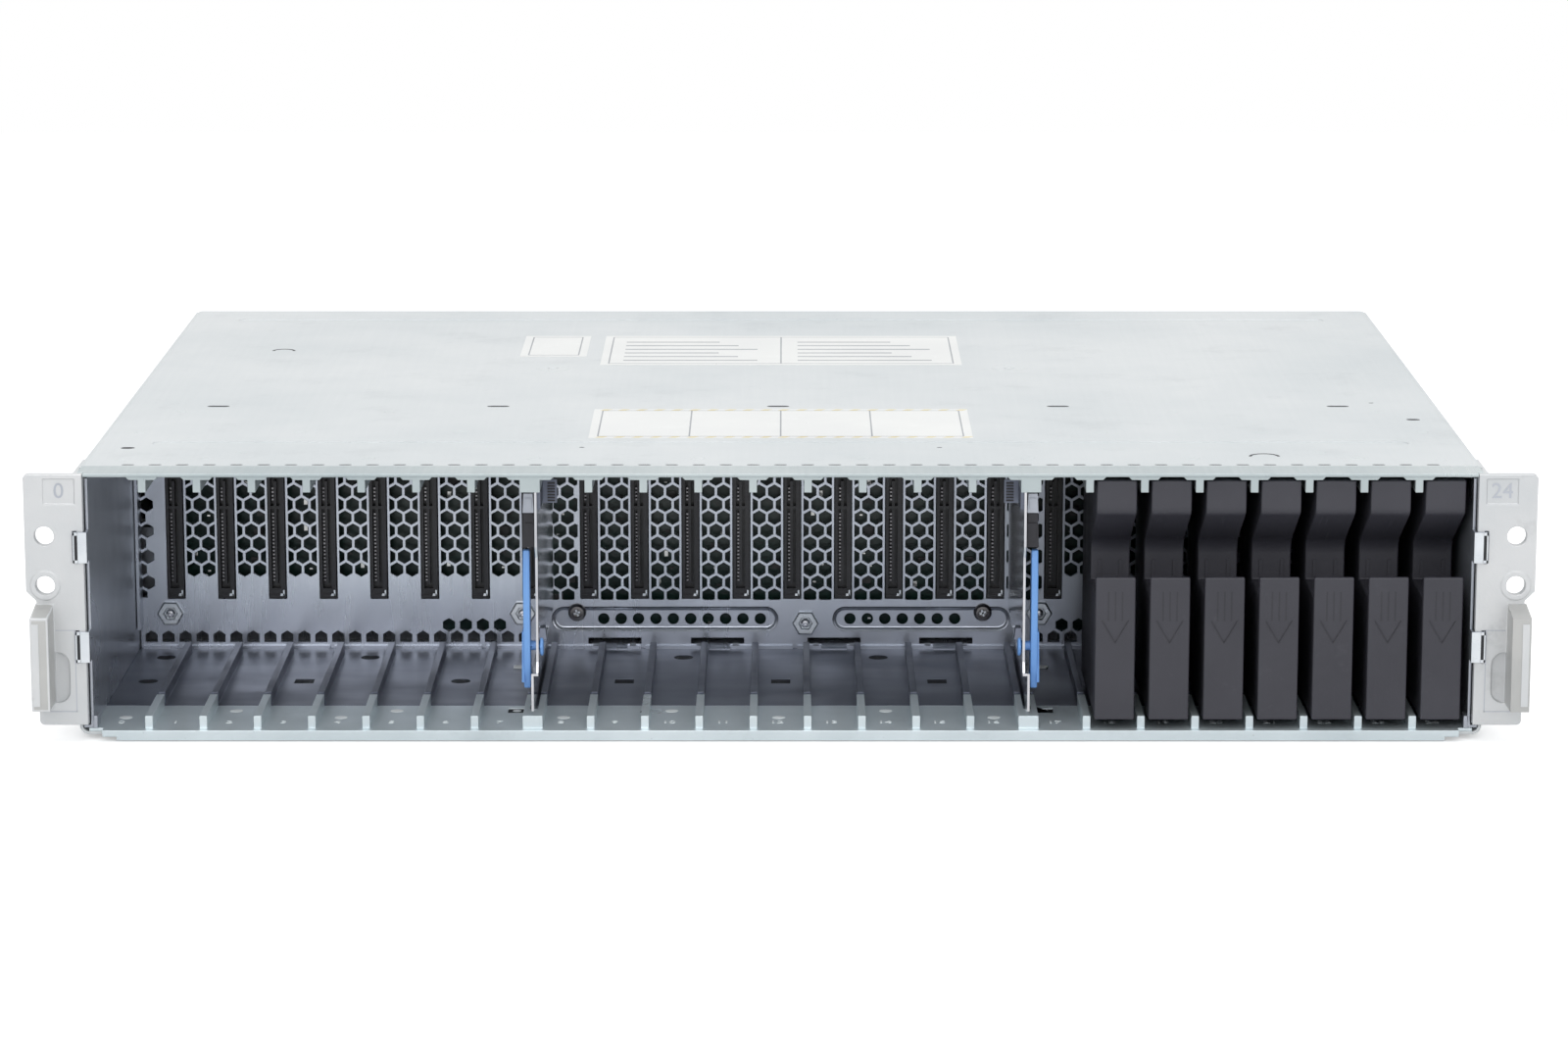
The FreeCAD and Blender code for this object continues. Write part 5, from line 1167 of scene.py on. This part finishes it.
def makeDividerParts():
    look = dividerLook
    step = look["toothReach"] / look["teeth"]
    feet = [look["toothFoot"] + row * step for row in range(look["teeth"])]
    teeth = [(72.2, 74.6, 23.6, 24.4, foot, foot + step * 0.5) for foot in feet]
    # the divider tabs take the main floor's zinc, whose dark tone is painted shade
    for name, blocks, finish in (
            ("dividerStops", look["stops"], "connector"), ("dividerClamps", look["clamps"], "liner"),
            ("dividerTabs", look["tabs"], "floor"), ("dividerTeeth", teeth, "connector")):
        addBlocks(name, (-1, 1), blocks, look["partRound"], finish, "bright_steel")
    for side, word in bothSides:
        body = bodyOf("divider_latch_" + word)
        addBlocks("latchRibs_" + word, (side,), look["ribs"], look["ribRound"], "blue", "latch_blue", body)


makeDividerParts()
print("dividers made")


# slot fillers

fillerLook = {
    "edgeRound": 0.6, "recess": 28.0, "tab": 10.6, "slope": 14.6, "pocketFoot": 46.0, "blockTop": 52.6,
    "blockWall": 2.0,
    "footLift": 2.7, "bends": (2.2, 4.0), "ribHalf": 3.0, "pocketRibs": 3.4,
    "arrowTop": 48.0, "arrowNeck": 38.6, "arrowFoot": 31.4, "arrowHalf": 4.2, "shaftHalf": 2.2, "stroke": 0.5,
}


def addStroke(bm, start, end, width, y, depth):
    # a thin bar between two points on a face that looks to -Y
    direction = Vector((end[0] - start[0], 0, end[1] - start[1]))
    added = addBlock(bm, (-width / 2, 0, 0), (width / 2, depth, direction.length))
    turn = direction.to_track_quat("Z", "Y").to_matrix().to_4x4()
    placed(bm, added, Matrix.Translation((start[0], y, start[1])) @ turn)


def bentBetween(a, b, c, radius, steps=5):
    # points of a rounded corner at b, between a and c
    a, b, c = (Vector(point) for point in (a, b, c))
    first = b + (a - b).normalized() * radius
    last = b + (c - b).normalized() * radius
    points = []
    for step in range(steps + 1):
        share = step / steps
        points.append(first * (1 - share) ** 2 + b * 2 * share * (1 - share) + last * share ** 2)
    return [tuple(point) for point in points]


def makeFiller(index):
    look = fillerLook
    node = f"slot_filler_{index}"
    low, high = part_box(node)
    front, back, head = low.y, high.y, high.z
    foot = low.z + look["footLift"] * mm
    recess = front + look["recess"] * mm
    tab = head - look["tab"] * mm
    slope = tab - look["slope"] * mm
    pocket = look["pocketFoot"] * mm
    block = look["blockTop"] * mm
    wall = front + look["blockWall"] * mm
    outline = [(back, head), (front, head)]
    outline += bentBetween((front, head), (front, tab), (recess, slope), look["bends"][0] * mm)
    outline += bentBetween((front, tab), (recess, slope), (recess, pocket), look["bends"][1] * mm)
    outline += [(recess, pocket), (wall, pocket), (wall, block), (front, block), (front, foot), (back, foot)]
    bm = bmesh.new()
    sides = [[bm.verts.new((x, y, z)) for y, z in outline] for x in (low.x, high.x)]
    bm.faces.new(sides[0])
    bm.faces.new(reversed(sides[1]))
    bridge(bm, *sides)
    bmesh.ops.recalc_face_normals(bm, faces=bm.faces)
    softened(bm, look["edgeRound"], 3)
    middle = (low.x + high.x) / 2
    # the guide rib beneath and two shallow ribs on the pocket wall
    rib = look["ribHalf"] * mm
    addBlock(bm, (middle - rib, (front + back) / 2, low.z), (middle + rib, back, foot + 0.5 * mm))
    for side in (-1, 1):
        x = middle + side * look["pocketRibs"] * mm
        addBlock(bm, (x - 0.5 * mm, recess - 0.4 * mm, pocket + 1 * mm),
                 (x + 0.5 * mm, recess + 0.4 * mm, slope - 6 * mm))
    evenNormals(addPiece(f"filler_{index}", bm, "filler", "filler_black", bodyOf(node), (node,), angle=50))
    arrow = bmesh.new()
    face = front - 0.04 * mm
    keys = ("arrowTop", "arrowNeck", "arrowFoot", "arrowHalf", "shaftHalf")
    top, neck, tip, half, shaft = (look[key] * mm for key in keys)
    for a, b in (((-shaft, top), (-shaft, neck)), ((shaft, top), (shaft, neck)), ((0, top), (0, neck)),
                 ((-half, neck), (0, tip)), ((half, neck), (0, tip))):
        addStroke(arrow, (middle + a[0], a[1]), (middle + b[0], b[1]), look["stroke"] * mm, face, 0.1 * mm)
    addPiece(f"fillerArrow_{index}", arrow, "arrow", "filler_black", bodyOf(node))


for index in range(slotCount - 7, slotCount):
    makeFiller(index)
print("fillers made")


# rear modules

softCopy("bay_wall", "bayWall", "liner", "galvanised", 0.15)
softCopy("module_shelves", "moduleShelves", "liner", "galvanised", 0.15)
softCopy("module_connectors", "moduleConnectors", "connector", "connector_black", 0.4)
sideParts = (
    ("power_case_", "powerCase_", "liner", "galvanised", 0.2),
    ("power_face_", "powerFace_", "shell", "galvanised", 0.15),
    ("fan_frames_", "fanFrames_", "fan", "fan_black", 0.2),
    ("power_inlet_", "powerInlet_", "connector", "connector_black", 0.25),
    ("power_lever_", "powerLever_", "lever", "lever_grey", 0.5),
    ("link_tray_", "linkTray_", "shell", "galvanised", 0.15),
    ("link_board_", "linkBoard_", "board", "board_green", 0.15),
    ("link_ports_", "linkPorts_", "port", "port_steel", 0.15),
    ("link_lever_", "linkLever_", "lever", "lever_grey", 0.5),
)
for side in ("left", "right"):
    for node, name, *looks in sideParts:
        softCopy(node + side, name + side, *looks)
    for number in (1, 2):
        softCopy(f"fan_rotor_{side}_{number}", f"fanRotor_{side}_{number}", "fan", "fan_black", 0.2)


# rear details: rings over the fans, hub plates, screws, signal lenses and bare labels

rearLook = {
    "ringRadii": (6.0, 10.2, 14.4), "ringWidth": 0.9, "plateRadius": 6.2, "screwRadius": 1.9, "lensRadius": 1.3,
    "labelSpan": (30, 66), "labelHeight": 10, "lineShares": (0.9, 0.72, 0.84, 0.5), "linePitch": 1.9, "lineHeight": 0.7,
    # kind, node, places of the screws, of the green and the amber lens, foot of the label
    "faces": (("power", "power_face_", ((131, 37.2), (131, 7.4), (5.2, 37.2)), ((88, 34.0), (82, 34.0)), 26.5),
              ("link", "link_tray_", ((215.8, 77.4), (215.8, 48.8), (5.2, 77.4)), ((162, 70.0), (189, 70.0)), 66.5)),
}
rearPlace = (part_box("shell_base")[1].y - earFace) / mm


def towardsRear(x, y, z):
    return Matrix.Translation(at(x, y, z)) @ Matrix.Rotation(math.radians(-90), 4, "X")


def addHoop(bm, x, z, radius, width, foot, head, sides=40):
    angles = [2 * math.pi * i / sides for i in range(sides)]
    rows = []
    for reach, y in ((radius, foot), (radius + width, foot), (radius + width, head), (radius, head)):
        rows.append([bm.verts.new(at(x + reach * math.cos(a), y, z + reach * math.sin(a))) for a in angles])
    for first, second in zip(rows, rows[1:] + rows[:1]):
        bridge(bm, first, second)


def makeFanTrim(word):
    look = rearLook
    low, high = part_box("fan_frames_" + word)
    half = (high.z - low.z) / 2
    centres = ((low.x + half) / mm, (high.x - half) / mm)
    middle = (low.z + high.z) / 2 / mm
    rings = bmesh.new()
    for x in centres:
        for radius in look["ringRadii"]:
            addHoop(rings, x, middle, radius, look["ringWidth"], rearPlace - 1.3, rearPlace - 0.3)
        addHoop(rings, x, middle, half / mm - 1.1, 0.9, rearPlace - 0.2, rearPlace + 0.35, 48)
    softened(rings, 0.12, 1)
    addPiece("fanRings_" + word, rings, "shell", "galvanised", bodyOf("power_face_" + word))
    reach = look["plateRadius"]
    outline = ((reach, -0.3), (reach, 0.1), (reach - 0.2, 0.22), (reach * 0.62, 0.24), (reach * 0.6, 0.12),
               (reach * 0.3, 0.12), (reach * 0.28, 0.24), (0, 0.24))
    for number in (1, 2):
        node = f"fan_rotor_{word}_{number}"
        rotorLow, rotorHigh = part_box(node)
        x = min(centres, key=lambda c: abs(c - (rotorLow.x + rotorHigh.x) / 2 / mm))
        place = towardsRear(x, (rotorHigh.y - earFace) / mm, middle)
        plate = bmesh.new()
        addTurned(plate, outline, 28, place)
        # a mark beside the middle turns with the fan
        added = addBlock(plate, (reach * 0.64 * mm, -0.5 * mm, 0.1 * mm), (reach * 0.9 * mm, 0.5 * mm, 0.34 * mm))
        placed(plate, added, place)
        addPiece(f"fanPlate_{word}_{number}", plate, "label", "fan_black", bodyOf(node))


def makeFaceTrim(side, word):
    look = rearLook
    reach, lens = look["screwRadius"], look["lensRadius"]
    screw = ((reach, -0.3), (reach, 0.35), (reach * 0.85, 0.85), (reach * 0.5, 1.1), (reach * 0.42, 0.5), (0, 0.45))
    washer = ((reach + 0.9, -0.2), (reach + 0.9, 0.12), (reach + 0.7, 0.22), (reach * 0.9, 0.22))
    dome = ((lens, -0.4), (lens, 0.2), (lens * 0.8, 0.55), (lens * 0.4, 0.7), (0, 0.74))
    for kind, node, screws, lenses, foot in look["faces"]:
        body = bodyOf(node + word)
        heads, film, lines = (bmesh.new() for _ in range(3))
        for x, z in screws:
            for outline in (screw, washer):
                addTurned(heads, outline, 24, towardsRear(side * x, rearPlace, z))
        addPiece(f"faceScrews_{kind}_{word}", heads, "screw", "galvanised", body)
        for colour, (x, z) in zip(("green", "amber"), lenses):
            bm = bmesh.new()
            addTurned(bm, dome, 20, towardsRear(side * x, rearPlace, z))
            addPiece(f"{colour}Lens_{kind}_{word}", bm, colour, "galvanised", body, angle=50)
        # a bare label: a film with a few plain lines
        x0, x1 = sorted(side * x for x in look["labelSpan"])
        addBlock(film, at(x0, rearPlace - 0.2, foot), at(x1, rearPlace + 0.12, foot + look["labelHeight"]))
        for row, share in enumerate(look["lineShares"]):
            z = foot + 7.6 - row * look["linePitch"]
            end = x0 + 2 + (x1 - x0 - 4) * share
            addBlock(lines, at(x0 + 2, rearPlace, z), at(end, rearPlace + 0.17, z + look["lineHeight"]))
        softened(film, 0.06, 1)
        addPiece(f"rearLabel_{kind}_{word}", film, "label", "galvanised", body)
        addPiece(f"rearLines_{kind}_{word}", lines, "print", "galvanised", body)


for side, word in bothSides:
    makeFanTrim(word)
    makeFaceTrim(side, word)


# parts on the link boards: small packages with leads, and can capacitors

boardLook = {
    "coatTop": 6.6, "rows": 5, "columns": 3, "chipStart": (156, 168), "chipPitch": (18.5, 22.0),
    "chipSize": (11.0, 8.0, 1.4), "pins": 8,
    "cans": 5, "canRadius": 3.1, "canHeight": 7.4, "canStart": (22, 180), "canPitch": 15,
}


def makeBoardParts():
    look = boardLook
    long, wide, high = look["chipSize"]
    radius, height = look["canRadius"], look["canHeight"]
    can = ((radius + 0.5, -0.1), (radius + 0.5, 0.9), (radius, 1.0), (radius, height - 0.5), (radius - 0.4, height),
           (0, height))
    for side, word in bothSides:
        node = "link_board_" + word
        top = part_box(node)[0].z / mm + look["coatTop"]
        chips, leads, cans = (bmesh.new() for _ in range(3))
        for row in range(look["rows"]):
            for column in range(look["columns"]):
                x = side * (look["chipStart"][0] + column * look["chipPitch"][0])
                y = look["chipStart"][1] + row * look["chipPitch"][1]
                front, back = y - wide / 2, y + wide / 2
                addBlock(chips, at(x - long / 2, front, top + 0.2), at(x + long / 2, back, top + 0.2 + high), 0.25 * mm)
                for pin in range(look["pins"]):
                    place = x - long / 2 + 1.0 + pin * (long - 2) / (look["pins"] - 1)
                    addBlock(leads, at(place - 0.2, front - 1.1, top - 0.1), at(place + 0.2, back + 1.1, top + 0.5))
        for number in range(look["cans"]):
            place = at(side * look["canStart"][0], look["canStart"][1] + number * look["canPitch"], top)
            addTurned(cans, can, 24, Matrix.Translation(place))
        softened(chips, 0.15, 1)
        for name, bm, finish, slotName in (
                ("boardChips_", chips, "chip", "connector_black"), ("boardLeads_", leads, "port", "port_steel"),
                ("boardCans_", cans, "port", "port_steel")):
            addPiece(name + word, bm, finish, slotName, bodyOf(node), angle=40)


makeBoardParts()
print("rear modules made")


# floor, light and camera

stageLook = {
    "floorTone": 0.93, "floorLift": 0.34, "floorReach": 1.45, "floorDrop": 0.0004, "worldStrength": 0.51,
    "lampTarget": (0, 0, 0.05),
    # name, place, size, power
    "lamps": (("overheadLamp", (0, -0.2, 1.7), (2.2, 1.8), 20.5), ("frontLamp", (-0.5, -2.1, 1.0), (1.6, 1.0), 10.4),
              ("sideLamp", (1.1, -1.7, 0.9), (1.0, 1.0), 5.2)),
    "cameraPlace": (0.001293, -1.668106, 0.374468), "cameraTilt": 78.568, "cameraTurn": 0.0071, "lens": 111.545,
}


def mathNode(tree, operation):
    made = tree.nodes.new("ShaderNodeMath")
    made.operation = operation
    return made


def whiteForViewer(tree, lit, white):
    # what the camera, gloss and glass see is the white backdrop
    path = tree.nodes.new("ShaderNodeLightPath")
    seen = path.outputs["Is Camera Ray"]
    for ray in ("Is Glossy Ray", "Is Transmission Ray"):
        larger = mathNode(tree, "MAXIMUM")
        tree.links.new(seen, larger.inputs[0])
        tree.links.new(path.outputs[ray], larger.inputs[1])
        seen = larger.outputs[0]
    mix = tree.nodes.new("ShaderNodeMixShader")
    for place, socket in enumerate((seen, lit, white)):
        tree.links.new(socket, mix.inputs[place])
    return mix.outputs[0]


def makeStage():
    world = bpy.data.worlds.new("studio")
    bpy.context.scene.world = world
    world.use_nodes = True
    tree = world.node_tree
    lit = tree.nodes["Background"]
    lit.inputs["Color"].default_value = (0.97, 0.985, 1, 1)
    lit.inputs["Strength"].default_value = stageLook["worldStrength"]
    white = tree.nodes.new("ShaderNodeBackground")
    white.inputs["Color"].default_value = (1, 1, 1, 1)
    white.inputs["Strength"].default_value = 1.0
    tree.links.new(whiteForViewer(tree, lit.outputs[0], white.outputs[0]), tree.nodes["World Output"].inputs["Surface"])

    bm = bmesh.new()
    bmesh.ops.create_grid(bm, x_segments=12, y_segments=12, size=stageLook["floorReach"])
    mesh = bpy.data.meshes.new("studioFloor")
    bm.to_mesh(mesh)
    bm.free()
    floor = linked("studioFloor", mesh)
    floor.location = (0, 0, cadLow.z - stageLook["floorDrop"])
    paper = bpy.data.materials.new("studioPaper")
    paper.use_nodes = True
    tree = paper.node_tree
    shader = tree.nodes["Principled BSDF"]
    shader.inputs["Base Color"].default_value = (*(stageLook["floorTone"],) * 3, 1)
    shader.inputs["Roughness"].default_value = 0.9
    shader.inputs["Emission Color"].default_value = (1, 1, 1, 1)
    path = tree.nodes.new("ShaderNodeLightPath")
    lift = mathNode(tree, "MULTIPLY")
    lift.inputs[1].default_value = stageLook["floorLift"]
    tree.links.new(path.outputs["Is Camera Ray"], lift.inputs[0])
    tree.links.new(lift.outputs[0], shader.inputs["Emission Strength"])
    mesh.materials.append(paper)


def softLamp(name, place, size, power):
    data = bpy.data.lights.new(name, "AREA")
    data.shape = "RECTANGLE"
    data.size, data.size_y = size
    data.energy = power
    lamp = linked(name, data)
    lamp.location = place
    towards = Vector(stageLook["lampTarget"]) - Vector(place)
    lamp.rotation_euler = towards.to_track_quat("-Z", "Y").to_euler()


makeStage()
for lampPlan in stageLook["lamps"]:
    softLamp(*lampPlan)

cameraData = bpy.data.cameras.new("viewer")
cameraData.lens = stageLook["lens"]
cameraData.sensor_width = 36
cameraData.clip_start = 0.05
camera = linked("viewer", cameraData)
camera.location = stageLook["cameraPlace"]
camera.rotation_euler = (math.radians(stageLook["cameraTilt"]), 0, math.radians(stageLook["cameraTurn"]))
bpy.context.scene.camera = camera
bpy.context.scene.view_settings.view_transform = "Standard"
print("stage made")
